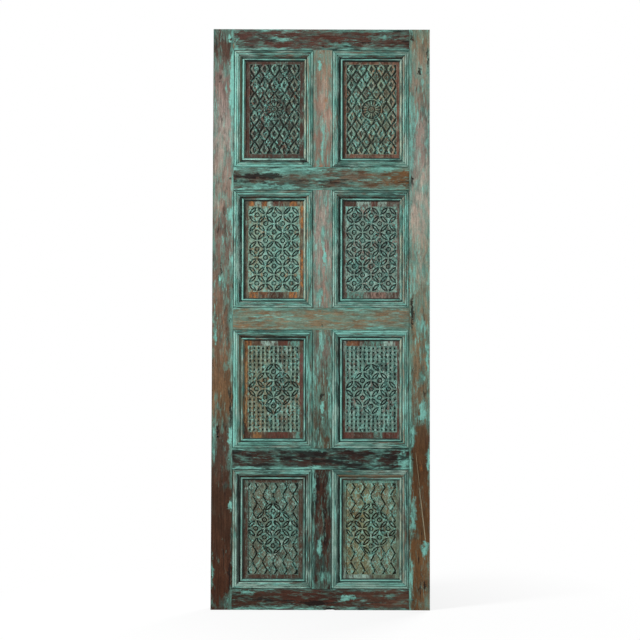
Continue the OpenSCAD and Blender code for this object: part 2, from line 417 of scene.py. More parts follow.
def make_moulding(length, side):
    """One mitred moulding about the origin: X along it, Z away from the frame."""
    turn = SIDES.index(side)
    width = moulding_width(side)
    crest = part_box("moulding_1_left_top")[0].y
    ends = (moulding_width(SIDES[turn - 3]), moulding_width(SIDES[turn - 1]))
    piece = block("moulding", (-length / 2, crest, 0), (length / 2, PANEL_FRONT, width))
    with editing():
        for share, depth in MOULDING[1:-1]:
            split((0, 0, width * share), (0, 0, 1))
        for share, depth in MOULDING:
            pick("verts", lambda v: abs(v.co.z - width * share) < 0.01 * MM and v.co.y < crest + 0.01 * MM)
            bpy.ops.transform.translate(value=(0, depth * MM, 0))
        cut_steps(X, 10 * MM)
        for end, beside in ((-1, ends[0]), (1, ends[1])):
            split((end * (length / 2 - JOINT), 0, 0), (end * width, 0, beside), use_fill=True,
                  clear_outer=True)
    return piece


def fit_mouldings():
    """Eight patterns, one for each side of each column, copied down the four rows."""
    made = {}
    for column in COLUMNS:
        for turn, side in enumerate(SIDES):
            low, high = opening(1, column)
            size = high - low
            long, half = (size.x, size.z / 2) if turn % 2 == 0 else (size.z, size.x / 2)
            pattern = make_moulding(long - 0.6 * MM, side)
            for row in ROWS:
                near, far = opening(row, column)
                centre = Vector(((near.x + far.x) / 2, 0, (near.z + far.z) / 2))
                angle = math.radians(90 * turn)
                out = Vector((math.sin(angle), 0, math.cos(angle)))
                piece = copy_of(pattern, centre - out * (half - 0.3 * MM), angle)
                piece.name = f"moulding_{row}_{column}_{side}_worn"
                only(piece)
                settle()
                group("face", lambda v: v.co.y < PANEL_FRONT - 0.1 * MM)
                wear(piece, 0.014, 0.8 * MM, "Y", 0.0, vertex_group="face")
                wear(piece, 0.06, 0.8 * MM, "Y", 0.0, vertex_group="face")
                made[row, column, side] = piece
            bpy.data.objects.remove(pattern)
    return made


# ---- carved panels ----

# Each carved shape stands on the ground of the carving, at Y = 0, and rises towards -Y.

def post(name, sides, width, height, top=CARVE):
    """A prism with a level top, sunk a little into the ground."""
    foot = 0.5 * MM
    bpy.ops.mesh.primitive_cylinder_add(vertices=sides, radius=0.5, depth=1,
                                        location=(0, (foot - top) / 2, 0),
                                        rotation=(math.pi / 2, 0, 0))
    piece = bpy.context.active_object
    piece.name = name
    settle()
    with editing():
        bpy.ops.mesh.select_all(action="SELECT")
        bpy.ops.transform.resize(value=(width, top + foot, height), center_override=(0, (foot - top) / 2, 0))
    return piece


def at_top(part, top=CARVE):
    """True for a face, edge or vertex in the level top of a carved shape."""
    verts = getattr(part, "verts", None) or [part]
    return all(v.co.y < -top + 0.05 * MM for v in verts)


def round_top(offset, segments=2, top=CARVE):
    """In edit mode, rounds the edges round the level top."""
    pick("edges", lambda edge: at_top(edge, top) and len(edge.link_faces) == 2
         and not all(at_top(face, top) for face in edge.link_faces))
    bpy.ops.mesh.bevel(offset=offset, segments=segments, affect="EDGES")


def sink_top(inset, depth, top=CARVE):
    """In edit mode, insets the level top and presses its middle down."""
    pick("faces", lambda face: at_top(face, top))
    bpy.ops.mesh.inset(thickness=inset)
    bpy.ops.transform.translate(value=(0, depth, 0))


def pillow_top(shrink, rise, top):
    """In edit mode, raises the level top on a slope all round, about the origin."""
    pick("faces", lambda face: at_top(face, top))
    draw_out(-rise)
    bpy.ops.transform.resize(value=(shrink, 1, shrink), center_override=(0, 0, 0))


def disc_at(x, z, radius, top):
    """A flat-topped disc on the ground of the carving, as a cutter or as a limit."""
    disc = post("disc", 48, 2 * radius, 2 * radius, top)
    disc.location = (x, 0, z)
    settle()
    return disc


def gouge(x, z, radius, sides=48):
    """A round cutter down to the ground, spreading where it leaves the surface."""
    chamfer = 0.8 * MM
    disc = post("gouge", sides, 2 * radius, 2 * radius, CARVE + MM)
    with editing(disc):
        bpy.ops.mesh.select_all(action="SELECT")
        bpy.ops.transform.translate(value=(0, -0.5 * MM, 0))
        split((0, chamfer - CARVE, 0), (0, 1, 0))
        pick("verts", lambda v: v.co.y < -CARVE)
        spread = 1 + (chamfer + 1.5 * MM) / radius
        bpy.ops.transform.resize(value=(spread, 1, spread), center_override=(0, 0, 0))
    disc.location = (x, 0, z)
    settle()
    return disc


def overlap(first, second):
    """The pointed oval that two discs share."""
    finish_with(first, "BOOLEAN", operation="INTERSECT", object=second, solver="EXACT")
    bpy.data.objects.remove(second)
    return first


def circle_cell(middles, clipped=False):
    """One cell of overlapping circles, with a ring round the middles at one or both corners."""
    half = UNIT / 2
    cell = block("cell", (-half, -CARVE, -half), (half, 0.5 * MM, half))
    if clipped:
        overlap(cell, disc_at(-half, -half, UNIT, CARVE + MM))
    cut = UNIT - 1.7 * MM
    cut_away(cell, overlap(gouge(-half, -half, cut), gouge(half, half, cut)))
    for side in (-1, 1)[:middles]:
        cut_away(cell, gouge(side * half, side * half, 0.3 * UNIT, 20))
    low, inner = CARVE - 0.9 * MM, UNIT * 0.79
    core = overlap(disc_at(-half, -half, inner, low), disc_at(half, half, inner, low))
    with editing(core):
        pillow_top(0.86, 0.6 * MM, low)
        pillow_top(0.78, 0.3 * MM, CARVE - 0.3 * MM)
    return join("circle_cell", [cell, core])


def dot():
    """The raised dot in the middle of a circle."""
    piece = post("dot", 12, 10 * MM, 10 * MM)
    with editing(piece):
        round_top(1.1 * MM, 2)
        sink_top(1.0 * MM, 0.9 * MM)
    return piece


def grid_cell():
    """Four small square holes, cut to a taper; the upright bars stand higher than the level ones."""
    half, near, far = UNIT / 2, 3.7 * MM, 11.3 * MM
    piece = block("grid_cell", (-half, -CARVE, -half), (half, 0.5 * MM, half))
    with editing():
        for normal in ((1, 0, 0), (0, 0, 1)):
            for place in (-far, -near, near, far):
                split(Vector(normal) * place, normal)

        def within(value):
            return near < abs(value) < far

        pick("faces", lambda face: at_top(face) and within(face.calc_center_median().x))
        draw_out(MM)
        pick("faces", lambda face: at_top(face, CARVE - 1.0 * MM) and face.normal.y < -0.9
             and within(face.calc_center_median().x) and within(face.calc_center_median().z)
             and face.calc_center_median().y > -CARVE + 0.5 * MM)
        bpy.ops.mesh.inset(thickness=0.5 * MM, depth=-0.6 * MM, use_individual=True)
        bpy.ops.mesh.inset(thickness=0.6 * MM, depth=-2.6 * MM, use_individual=True)
    return piece


def large_diamond(share, rim, dish):
    """A diamond with a raised rim; the deeper the dish, the darker its middle, from the painted shade that
    the panel's finish lays by depth.
    """
    piece = post("large_diamond", 4, LATTICE[0] * share, LATTICE[1] * share)
    with editing(piece):
        round_top(1.3 * MM, 2)
        sink_top(rim, 0.0)
        pick("faces", lambda face: at_top(face) and face.calc_center_median().xz.length < MM)
        bpy.ops.mesh.inset(thickness=1.6 * MM)
        bpy.ops.transform.translate(value=(0, dish, 0))
    return piece


def bossed_diamond():
    """A small diamond, well rounded, with a pit in the middle."""
    top = 0.9 * CARVE
    piece = post("bossed_diamond", 4, LATTICE[0] * 0.76, LATTICE[1] * 0.66, top)
    with editing(piece):
        round_top(2.0 * MM, 3, top)
        sink_top(3.2 * MM, 1.4 * MM, top)
    return piece


def sloping_diamond():
    """A plain low diamond, sloping up to nearly full height on its right."""
    top = 0.68 * CARVE
    piece = post("sloping_diamond", 4, LATTICE[0] * 0.98, LATTICE[1] * 0.98, top)
    with editing(piece):
        pick("faces", lambda face: at_top(face, top))
        bpy.ops.transform.rotate(value=SLOPE, orient_axis="Z", center_override=(0, -top, 0))
        bpy.ops.mesh.inset(thickness=3.0 * MM)
        bpy.ops.mesh.inset(thickness=1.4 * MM, depth=-0.6 * MM)
    return piece


def half_of(piece, normal, place=0.0):
    """A copy of a carved shape, cut flat, with only the side that the normal points to."""
    half = copy_of(piece, (0, 0, 0))
    with editing(half):
        split(Vector(normal) * place, normal, use_fill=True, clear_inner=True)
    return half


class Carver:
    """Sets copies of carved shapes out on one panel, each a little off true, as by hand."""

    def __init__(self, row, column):
        self.middle = field_middle(row, column) + Vector((0, CARVE, 0))
        self.random = random.Random(row * 10 + COLUMNS.index(column))
        self.clear = ()                       # circles kept free: x, z, radius
        self.set_out = []

    def place(self, shape, x, z, turn=0.0, slack=1.0):
        """Puts a copy at a place in the field; slack 0 keeps it exactly true."""
        off = [self.random.uniform(-slack, slack) for _ in range(4)]
        spot = self.middle + Vector((x + off[0] * 0.4 * MM, 0, z + off[1] * 0.4 * MM))
        scale = (1 + off[2] * 0.03, 1, 1 + off[3] * 0.03)
        piece = copy_of(shape, spot, turn + off[2] * 0.02, scale)
        only(piece)
        settle()
        for clear_x, clear_z, radius in self.clear:
            centre = self.middle + Vector((clear_x, 0, clear_z))
            reach = [math.hypot(v.co.x - centre.x, v.co.z - centre.z) for v in piece.data.vertices]
            if max(reach) < radius:
                bpy.data.objects.remove(piece)
                return
            if math.hypot(spot.x - centre.x, spot.z - centre.z) < radius + LATTICE[1] / 2:
                cutter = post("disc", 40, 2 * radius, 2 * radius, CARVE + 2 * MM)
                cutter.location = centre + Vector((0, MM, 0))
                settle()
                cut_away(piece, cutter)
        if piece.data.polygons:
            self.set_out.append(piece)
        else:
            bpy.data.objects.remove(piece)

    def done(self, name):
        return join(name, self.set_out)


CORNER_TURNS = {(0, 0): 0, (0, 1): 1, (1, 1): 2, (1, 0): 3}     # quarter turns
GROUP_ROWS = (1, 2, 3, 3, 2, 1)
GROUP_MIDDLES = {(x, z) for x in range(-2, 3) for z in range(-2, 3)
                 if abs(x) + abs(z) <= 2 and (x + z) % 2 == 0}
ALL_MIDDLES = {(x, z) for x in range(-2, 3) for z in range(-4, 5) if (x + z) % 2 == 0}


def in_group(i, j):
    """True for a cell in the group of nine circles."""
    return -3 <= j <= 2 and abs(i + 0.5) < GROUP_ROWS[j + 3]


def carve_circles(carver, shapes, cells, middles, outer):
    """Cells of overlapping circles; a cell with one middle takes the outer kind."""
    for i, j in cells:
        ringed = [corner for corner in CORNER_TURNS if (i + corner[0], j + corner[1]) in middles]
        kind = "both" if len(ringed) == 2 else outer
        turn = CORNER_TURNS[ringed[0]]
        carver.place(shapes[kind], (i + 0.5) * UNIT, (j + 0.5) * UNIT, turn * math.pi / 2, 0)
    for x, z in sorted(middles):
        carver.place(shapes["dot"], x * UNIT, z * UNIT)


def carve_diamonds(carver, shapes, row, shift=0.0):
    """Six large diamonds in each of five columns, and small ones between."""
    for i in range(-2, 3):
        for j in range(-2, 2):
            carver.place(shapes[row, "large"], i * LATTICE[0] - shift, (j + 0.5) * LATTICE[1])
        for end in (-1, 1):
            carver.place(shapes[row, "end"], i * LATTICE[0] - shift, end * 2.5 * LATTICE[1],
                         0 if end < 0 else math.pi)
    for j in range(-2, 3):
        for i in range(-2, 2):
            carver.place(shapes[row, "small"], (i + 0.5) * LATTICE[0], j * LATTICE[1])
        for side, end in (("left", -1), ("right", 1)):
            carver.place(shapes[row, side], end * 2.5 * LATTICE[0], j * LATTICE[1], 0, 0.3)
    if (row, "top") in shapes:
        for i in range(-2, 2):
            for side, end in (("bottom", -1), ("top", 1)):
                carver.place(shapes[row, side], (i + 0.5) * LATTICE[0], end * 3 * LATTICE[1], 0, 0.3)


ROSETTES = {                                  # radius, ring width, ring height, petals, petal circle
    "left": (41 * MM, 9 * MM, 0.72 * CARVE, 14, 34 * MM),
    "right": (38.5 * MM, 4.4 * MM, CARVE, 16, 37 * MM),
}


def make_rosette(column):
    """A ring with a sunk floor, petals round it, and a boss."""
    radius, width, height, count, reach = ROSETTES[column]
    ring = post("ring", 56, 2 * radius, 2 * radius, height)
    with editing(ring):
        sink_top(width, 0.0, height)
        pick("faces", lambda face: at_top(face, height) and face.calc_center_median().xz.length < MM)
        draw_out(height - 0.3 * MM)
        round_top(1.3 * MM, 2, height)
    pieces = [ring]
    for k in range(count):
        leaf = post("leaf", 8, reach * 0.56, reach * 2.7 / count, CARVE * 0.85)
        with editing(leaf):
            round_top(reach * 0.6 / count, 2, CARVE * 0.85)
        angle = 2 * math.pi * k / count
        leaf.location = (math.cos(angle) * reach * 0.57, 0, -math.sin(angle) * reach * 0.57)
        leaf.rotation_euler = (0, angle, 0)
        settle()
        pieces.append(leaf)
    boss = post("boss", 24, reach * 0.5, reach * 0.5)
    with editing(boss):
        round_top(1.6 * MM, 3)
        sink_top(1.6 * MM, 1.4 * MM)
    pieces.append(boss)
    return join("rosette", pieces)


def panel_blank(name, row, column, field):
    """The panel itself: a board with a tongue round it and a sunk field."""
    low, high = opening(row, column)
    centre = field_middle(row, column)
    half_x, half_z = field[0] / 2, field[1] / 2
    piece = block(name, (low.x, PANEL_FRONT, low.z), (high.x, PANEL_BACK, high.z))
    cuts = (((0, -TONGUE, 0), Y), ((0, TONGUE, 0), Y),
            ((centre.x - half_x, 0, 0), X), ((centre.x + half_x, 0, 0), X),
            ((0, 0, centre.z - half_z), Z), ((0, 0, centre.z + half_z), Z))
    with editing():
        for place, axis in cuts:
            split(place, [float(axis == other) for other in (X, Y, Z)])
        pick("faces", lambda face: abs(face.normal.y) < 0.1 and abs(face.calc_center_median().y) < TONGUE)
        bpy.ops.mesh.extrude_region_shrink_fatten(
            TRANSFORM_OT_shrink_fatten={"value": TONGUE_L, "use_even_offset": True})
        pick("faces", lambda face: face.normal.y < -0.9
             and abs(face.calc_center_median().x - centre.x) < half_x
             and abs(face.calc_center_median().z - centre.z) < half_z)
        draw_out(CARVE)
        cut_steps(X, 10 * MM)
        cut_steps(Z, 10 * MM)
    return piece


def make_panel(shapes, row, column):
    """A panel with the carving of its row, set out by hand and then worn."""
    field = (6 * UNIT, 10 * UNIT) if row in (2, 3) else (5 * LATTICE[0], FIELD_H)
    carver = Carver(row, column)
    name = f"panel_{row}_{column}_worn"
    blank = panel_blank(name, row, column, field)
    cells = [(i, j) for i in range(-3, 3) for j in range(-5, 5)]
    grouped = [cell for cell in cells if in_group(*cell)]
    if row == 1:
        carver.clear = [(0, 0, ROSETTES[column][0] + 1.2 * MM)]
        carve_diamonds(carver, shapes, row)
        rosette = make_rosette(column)
        rosette.location = carver.middle
        settle()
        carver.set_out.append(rosette)
    elif row == 2:
        carve_circles(carver, shapes, cells, ALL_MIDDLES, "one")
    elif row == 3:
        carve_circles(carver, shapes, grouped, GROUP_MIDDLES, "one")
        for i, j in cells:
            if not in_group(i, j):
                carver.place(shapes["grid"], (i + 0.5) * UNIT, (j + 0.5) * UNIT, 0, 0)
    else:
        carver.clear = [(x * UNIT, z * UNIT, UNIT + 0.8 * MM) for x, z in sorted(GROUP_MIDDLES)]
        carve_diamonds(carver, shapes, row, 2.0 * MM)
        carver.clear = ()
        carve_circles(carver, shapes, grouped, GROUP_MIDDLES, "clipped")
    carving = carver.done("carving")
    for direction, amount in (("X", 1.3 * MM), ("Z", 1.3 * MM)):
        wear(carving, 0.03, amount, direction, 0.5)
    wear(carving, 0.02, 0.8 * MM, "Y", 0.0)
    panel = join(name, [blank, carving])
    group("face", lambda v: v.co.y < -TONGUE)
    wear(panel, 0.04, 0.5 * MM, "Y", 0.0, vertex_group="face")
    return panel


def make_shapes():
    """One of each carved shape, to be copied."""
    shapes = {"both": circle_cell(2), "one": circle_cell(1), "clipped": circle_cell(1, True),
              "dot": dot(), "grid": grid_cell()}
    end = FIELD_H / 2 - 2.5 * LATTICE[1]
    for row, large, small in ((1, large_diamond(0.88, 4.6 * MM, 2.4 * MM), bossed_diamond()),
                              (4, large_diamond(0.82, 2.4 * MM, 0.7 * MM), sloping_diamond())):
        shapes[row, "large"] = large
        shapes[row, "end"] = half_of(large, (0, 0, 1), -end)
        shapes[row, "small"] = small
        shapes[row, "left"] = half_of(small, (1, 0, 0))
        shapes[row, "right"] = half_of(small, (-1, 0, 0))
    shapes[4, "bottom"] = half_of(small, (0, 0, 1), end)
    shapes[4, "top"] = half_of(small, (0, 0, -1), end)
    return shapes


# ---- finishes: bare wood, dirt, painted shade and highlights, and coats of turquoise paint worn through ----

def tint(red, green, blue):
    """A colour named in steps of 0 to 255, as the shaders take it."""
    shares = [value / 255 for value in (red, green, blue)]
    return tuple(share / 12.92 if share < 0.04 else ((share + 0.055) / 1.055) ** 2.4
                 for share in shares) + (1,)


TURQUOISE = tint(86, 134, 122)
BRIGHT_TURQUOISE = tint(116, 174, 162)
PALE_TURQUOISE = tint(140, 168, 156)
DEEP_TURQUOISE = tint(50, 84, 78)
CHALK = tint(172, 164, 150)
MAUVE = tint(136, 112, 100)
TAN = tint(150, 116, 84)
OCHRE = tint(152, 98, 52)
CHESTNUT = tint(112, 72, 46)
MAROON = tint(84, 48, 40)
UMBER = tint(58, 38, 30)
# Near black: dirt on the planks, and also painted shadow in the hollows of the mouldings.
SOOT_AND_SHADOW = tint(24, 20, 19)


def feed(tree, socket, value):
    """Gives a socket a link where the value is another socket, or else the value itself."""
    if isinstance(value, bpy.types.NodeSocket):
        tree.links.new(value, socket)
    else:
        socket.default_value = value


def add_node(tree, kind, *values, **settings):
    """One node, with a value or a link for each of its first inputs."""
    node = tree.nodes.new(kind)
    for name, value in settings.items():
        setattr(node, name, value)
    for socket, value in zip(node.inputs, values):
        feed(tree, socket, value)
    return node


def seed_of(name):
    """A number of its own for each finish, so that no two wear alike."""
    return sum(map(ord, name)) % 97


class Finish:
    """One material, laid on in coats from the wood up."""

    def __init__(self, name, along, seed=0):
        self.material = bpy.data.materials.new(name)
        self.material.use_nodes = True
        self.tree = self.material.node_tree
        self.shader = self.tree.nodes["Principled BSDF"]
        self.shader.inputs["Specular IOR Level"].default_value = 0.08
        self.place = self.add("ShaderNodeTexCoord").outputs["Object"]
        self.axes = self.add("ShaderNodeSeparateXYZ", self.place).outputs
        self.along = along
        self.seed = seed
        self.ragged = None
        self.colour = None
        self.rough = 0.8
        self.relief = 0.0

    def add(self, kind, *values, **settings):
        return add_node(self.tree, kind, *values, **settings)

    def feed(self, socket, value):
        feed(self.tree, socket, value)

    def sum(self, operation, *values):
        return self.add("ShaderNodeMath", *values, operation=operation).outputs[0]

    def total(self, *values):
        result = values[0]
        for value in values[1:]:
            result = self.sum("ADD", result, value)
        return result

    def times(self, *values):
        result = values[0]
        for value in values[1:]:
            result = self.sum("MULTIPLY", result, value)
        return result

    def ramp(self, value, low, high, start=0.0, end=1.0):
        """Rises smoothly from start to end as the value goes from low to high."""
        return self.add("ShaderNodeMapRange", value, low, high, start, end,
                        interpolation_type="SMOOTHSTEP").outputs[0]

    def noise(self, place, scale, detail, rough, warp=0.0):
        node = self.add("ShaderNodeTexNoise", place)
        for name, value in (("Scale", scale), ("Detail", detail), ("Roughness", rough),
                            ("Distortion", warp)):
            self.feed(node.inputs[name], value)
        return node.outputs

    def lumps(self, size, stretch=1.0, detail=3.0, rough=0.6, warp=0.0):
        """Uneven lumps of a size, drawn out along the grain; 0 to 1, mostly near a half."""
        self.seed += 1
        scale = [1 / size] * 3
        scale[self.along] = 1 / (size * stretch)
        shift = (self.seed * 7.13 % 50, self.seed * 3.37 % 50, self.seed * 5.91 % 50)
        spot = self.add("ShaderNodeVectorMath", self.place, scale, shift, operation="MULTIPLY_ADD")
        return self.noise(spot.outputs[0], 1.0, detail, rough, warp)["Fac"]

    def mottle(self, *lots):
        """Lumps of several kinds added up, each a share and then what lumps takes."""
        return self.total(*[self.times(self.lumps(*kind), share) for share, *kind in lots])

    def dab(self, x, z, width, height):
        """A ragged patch on the front and back: 1 in the middle, 0 at the rim; sizes in mm."""
        if self.ragged is None:
            noise = self.noise(self.place, 45.0, 5.0, 0.7)["Color"]
            stray = [0.035] * 3
            stray[self.along] = 0.11
            start = [-0.5 * reach for reach in stray]
            off = self.add("ShaderNodeVectorMath", noise, stray, start, operation="MULTIPLY_ADD")
            self.ragged = self.add("ShaderNodeVectorMath", self.place, off.outputs[0]).outputs[0]
        scale = (2000 / width, 0, 2000 / height)
        shift = (-2 * x / width, 0, -2 * z / height)
        spot = self.add("ShaderNodeVectorMath", self.ragged, scale, shift, operation="MULTIPLY_ADD")
        reach = self.add("ShaderNodeVectorMath", spot.outputs[0], operation="LENGTH").outputs["Value"]
        return self.ramp(reach, 1.0, 0.35)

    def dabs(self, spots):
        """All the dabs of one kind together, each x, z, width, height and strength."""
        result = 0.0
        for x, z, width, height, strength in spots:
            result = self.total(self.times(self.dab(x, z, width, height), strength), result)
        return result

    def graded(self, axis, stops, stray=0.06):
        """Colours that change along a piece, through stops of place in mm and colour."""
        first, last = stops[0][0], stops[-1][0]
        shift = self.times(self.total(self.lumps(0.04, 2.5), -0.5), stray * 2)
        spot = self.total(self.axes[axis], shift)
        share = self.add("ShaderNodeMapRange", spot, first * MM, last * MM, 0.0, 1.0).outputs[0]
        scale = self.add("ShaderNodeValToRGB", share)
        scale.color_ramp.interpolation = "EASE"
        for index, (place, colour) in enumerate(stops):
            where = (place - first) / (last - first)
            if index in (0, len(stops) - 1):
                stop = scale.color_ramp.elements[-1 if index else 0]
                stop.position = where
            else:
                stop = scale.color_ramp.elements.new(where)
            stop.color = colour
        return scale.outputs[0]

    def band(self, axis, middle, width, soft):
        """1 across a band of a width, fading at its sides; sizes in mm."""
        off = self.sum("ABSOLUTE", self.total(self.axes[axis], -middle * MM))
        return self.ramp(off, (width / 2 + soft) * MM, (width / 2 - soft) * MM)

    def stroke(self, start_x, start_z, end_x, end_z, width):
        """1 along a thin straight line on the front and back; sizes in mm."""
        start, end = Vector((start_x, 0, start_z)) * MM, Vector((end_x, 0, end_z)) * MM
        way = (end - start).normalized()
        reach = []
        for direction in (Vector((way.z, 0, -way.x)), way):
            spot = self.add("ShaderNodeVectorMath", self.place, direction, operation="DOT_PRODUCT")
            middle = (start + end).dot(direction) / 2
            reach.append(self.sum("ABSOLUTE", self.total(spot.outputs["Value"], -middle)))
        half = (end - start).length / 2
        return self.times(self.ramp(reach[0], width * 0.7 * MM, width * 0.2 * MM),
                          self.ramp(reach[1], half, half - 12 * MM))

    def base(self, colour):
        self.colour = colour

    def mix(self, share, below, above, blend="MIX"):
        node = self.add("ShaderNodeMix", data_type="RGBA", blend_type=blend)
        for place, value in ((0, share), (6, below), (7, above)):
            self.feed(node.inputs[place], value)
        return node.outputs[2]

    def coat(self, share, colour, rough=None, thick=0.0):
        """Lays a colour over what is there, where share is above 0; thick is in mm."""
        self.colour = self.mix(share, self.colour, colour)
        if rough is not None:
            node = self.add("ShaderNodeMix", data_type="FLOAT")
            for place, value in ((0, share), (2, self.rough), (3, rough)):
                self.feed(node.inputs[place], value)
            self.rough = node.outputs[0]
        if thick:
            self.relief = self.total(self.times(share, thick), self.relief)

    def tone(self, value, low, high):
        """Darkens or lightens what is there, from a factor low at 0 to high at 1."""
        factor = self.ramp(value, 0.3, 0.7, low, high)
        both = self.add("ShaderNodeCombineColor", factor, factor, factor).outputs[0]
        self.colour = self.mix(1.0, self.colour, both, "MULTIPLY")

    def done(self):
        """Links the coats to the shader, with their thickness as relief."""
        bump = self.add("ShaderNodeBump")
        self.feed(bump.inputs["Distance"], MM)
        self.feed(bump.inputs["Strength"], 1.0)
        self.feed(bump.inputs["Height"], self.relief)
        self.feed(self.shader.inputs["Normal"], bump.outputs[0])
        self.feed(self.shader.inputs["Base Color"], self.colour)
        self.feed(self.shader.inputs["Roughness"], self.rough)
        return self.material


def lay_wood(finish, colour):
    """Worn wood of one colour, or of colours that change along it, with its grain."""
    finish.base(colour)
    grain = finish.lumps(0.0035, 24, 4, 0.65, 0.4)
    finish.tone(grain, 0.7, 1.16)
    finish.tone(finish.lumps(0.03, 3.5, 4, 0.65), 0.74, 1.16)
    finish.relief = finish.times(grain, 0.5)


def lay_paint(finish, colour, cover, streak=0.011, stretch=6.0, extra=0.0, film=0.3, soft=0.05, thick=0.25,
              strength=0.92):
    """Paint worn off in streaks, over a thin film of it; cover is about the share that is left."""
    fine = (0.9, streak, stretch, 6, 0.7, 0.3)
    broad = (0.6, streak * 4, stretch * 0.6, 3, 0.6)
    field = finish.total(finish.mottle(fine, broad), -0.25, extra)
    edge = 0.625 - 0.25 * cover
    if film:
        finish.coat(finish.ramp(field, edge - 0.13, edge + 0.06, 0.0, film), colour, 0.75)
    finish.coat(finish.ramp(field, edge - 0.5 * soft, edge + soft, 0, strength), colour, 0.55, thick)


def lay_dirt(finish, cover, spots=(), size=0.012, stretch=6, strength=0.85, colour=SOOT_AND_SHADOW):
    """Dark smudges in streaks and at spots."""
    fine = (0.9, size, stretch, 5, 0.65, 0.4)
    broad = (0.6, size * 4, stretch / 2, 3)
    field = finish.total(finish.mottle(fine, broad), -0.25, finish.dabs(spots))
    edge = 0.66 - 0.25 * cover
    finish.coat(finish.ramp(field, edge - 0.04, edge + 0.1, 0, strength), colour, 0.8)


def lay_age(finish, speckle=0.18, lines=0.2):
    """Fine dark grain lines and specks over everything."""
    finish.tone(finish.lumps(0.0016, 34, 3, 0.6), 1 - lines, 1 + 0.5 * lines)
    finish.tone(finish.lumps(0.0035, 1.6, 4, 0.7), 1 - speckle, 1 + 0.6 * speckle)
    finish.relief = finish.total(finish.times(finish.lumps(0.0022, 14, 3), 0.35), finish.relief)


def plank_finish(name, along, woods, strip, cover, edges, dirt, chalk, brown, darks=(), paints=(),
                 chalks=(), ochres=(), maroons=(), strokes=()):
    """The finish of one stile, rail or mullion; strip is its low and high edge across."""
    across = X if along == Z else Z
    finish = Finish(name, along, seed_of(name))
    lay_wood(finish, finish.graded(along, woods))
    lay_dirt(finish, brown, (), 0.02, 3.5, 0.55, UMBER)
    if ochres:
        lay_dirt(finish, -0.4, ochres, 0.012, 3, 0.8, OCHRE)
    if maroons:
        lay_dirt(finish, -0.4, maroons, 0.012, 3, 0.8, MAROON)
    finish.tone(finish.lumps(0.026, 3.5, 5, 0.68), 1 - chalk, 1 + chalk)
    wash = finish.times(finish.ramp(finish.lumps(0.02, 3.5, 5, 0.7), 0.35, 0.68), 1.6)
    finish.coat(finish.times(wash, finish.dabs(chalks)), CHALK, 0.9)
    low, high = strip
    rim = finish.total(finish.times(finish.ramp(finish.axes[across], low + 0.016, low + 0.003), edges[0]),
                       finish.times(finish.ramp(finish.axes[across], high - 0.016, high - 0.003), edges[1]))
    here = finish.total(rim, finish.dabs(paints))
    lay_paint(finish, DEEP_TURQUOISE, cover * 0.6, 0.016, 4, here, film=0.25, soft=0.24, thick=0.0,
              strength=0.6)
    lay_paint(finish, TURQUOISE, cover, 0.009, 4.5, here, film=0.3, soft=0.3, thick=0.1, strength=0.75)
    lay_paint(finish, BRIGHT_TURQUOISE, cover * 0.8 - 0.06, 0.0045, 7, here, film=0.0, soft=0.16,
              thick=0.15, strength=0.85)
    lay_dirt(finish, dirt, darks, 0.01, 7)
    for *ends, width, colour in strokes:
        finish.coat(finish.times(finish.stroke(*ends, width), 0.85), colour, 0.8)
    lay_age(finish)
    return finish.done()


def moulding_finish(name, along, edge, width, wood, cover, bright=0.35, pale=0.25, grime_and_shade=0.8, dirt=0.1,
                    paint=TURQUOISE, lines=(), blots=()):
    """Well painted along its length, with grime and painted shade in the deep lines, and wood showing
    through.
    """
    finish = Finish(name, along, seed_of(name))
    lay_wood(finish, wood)
    lay_dirt(finish, 0.3, (), 0.014, 5, 0.6, UMBER)
    lay_paint(finish, DEEP_TURQUOISE, 0.7, 0.01, 7, film=0.4, soft=0.12, thick=0.0)
    lay_paint(finish, paint, cover, 0.007, 9, film=0.3, soft=0.1)
    lay_paint(finish, PALE_TURQUOISE, pale, 0.016, 5, film=0.3, soft=0.12, thick=0.0)
    lay_paint(finish, BRIGHT_TURQUOISE, bright, 0.004, 14, film=0.0, soft=0.06, thick=0.15)
    # Painted shade, partly grime: the quirk and the deep lines are coated near black by their depth below the
    # face.
    low = finish.total(finish.axes[Y], finish.times(finish.lumps(0.008, 6), 0.002), -FRONT - 1.0 * MM)
    outer = finish.times(finish.ramp(low, 2.0 * MM, 2.9 * MM), finish.ramp(low, 4.6 * MM, 3.4 * MM))
    deep = finish.ramp(low, 7.2 * MM, 8.9 * MM)
    finish.coat(finish.times(finish.total(finish.times(outer, 0.3), deep), grime_and_shade), SOOT_AND_SHADOW, 0.8)
    across = X if along == Z else Z
    off = finish.sum("ABSOLUTE", finish.total(finish.axes[across], -edge))
    inward = finish.total(finish.times(off, 1 / width), finish.times(finish.lumps(0.02, 5), 0.08), -0.04)
    # Lines along the moulding: many are painted highlights on lit beads and painted shadows in shaded
    # hollows, the rest real colours.
    for start, end, colour, strength in lines:
        strip = finish.times(finish.ramp(inward, start - 0.02, start + 0.02),
                             finish.ramp(inward, end + 0.02, end - 0.02))
        bare = 0.64 - 0.35 * strength
        broken = finish.ramp(finish.lumps(0.012, 5, 6, 0.75), bare, bare + 0.16)
        finish.coat(finish.times(strip, broken, 0.85), colour, 0.6)
    lay_dirt(finish, dirt, blots, 0.006, 10, 0.75)
    lay_age(finish, 0.16, 0.16)
    return finish.done()


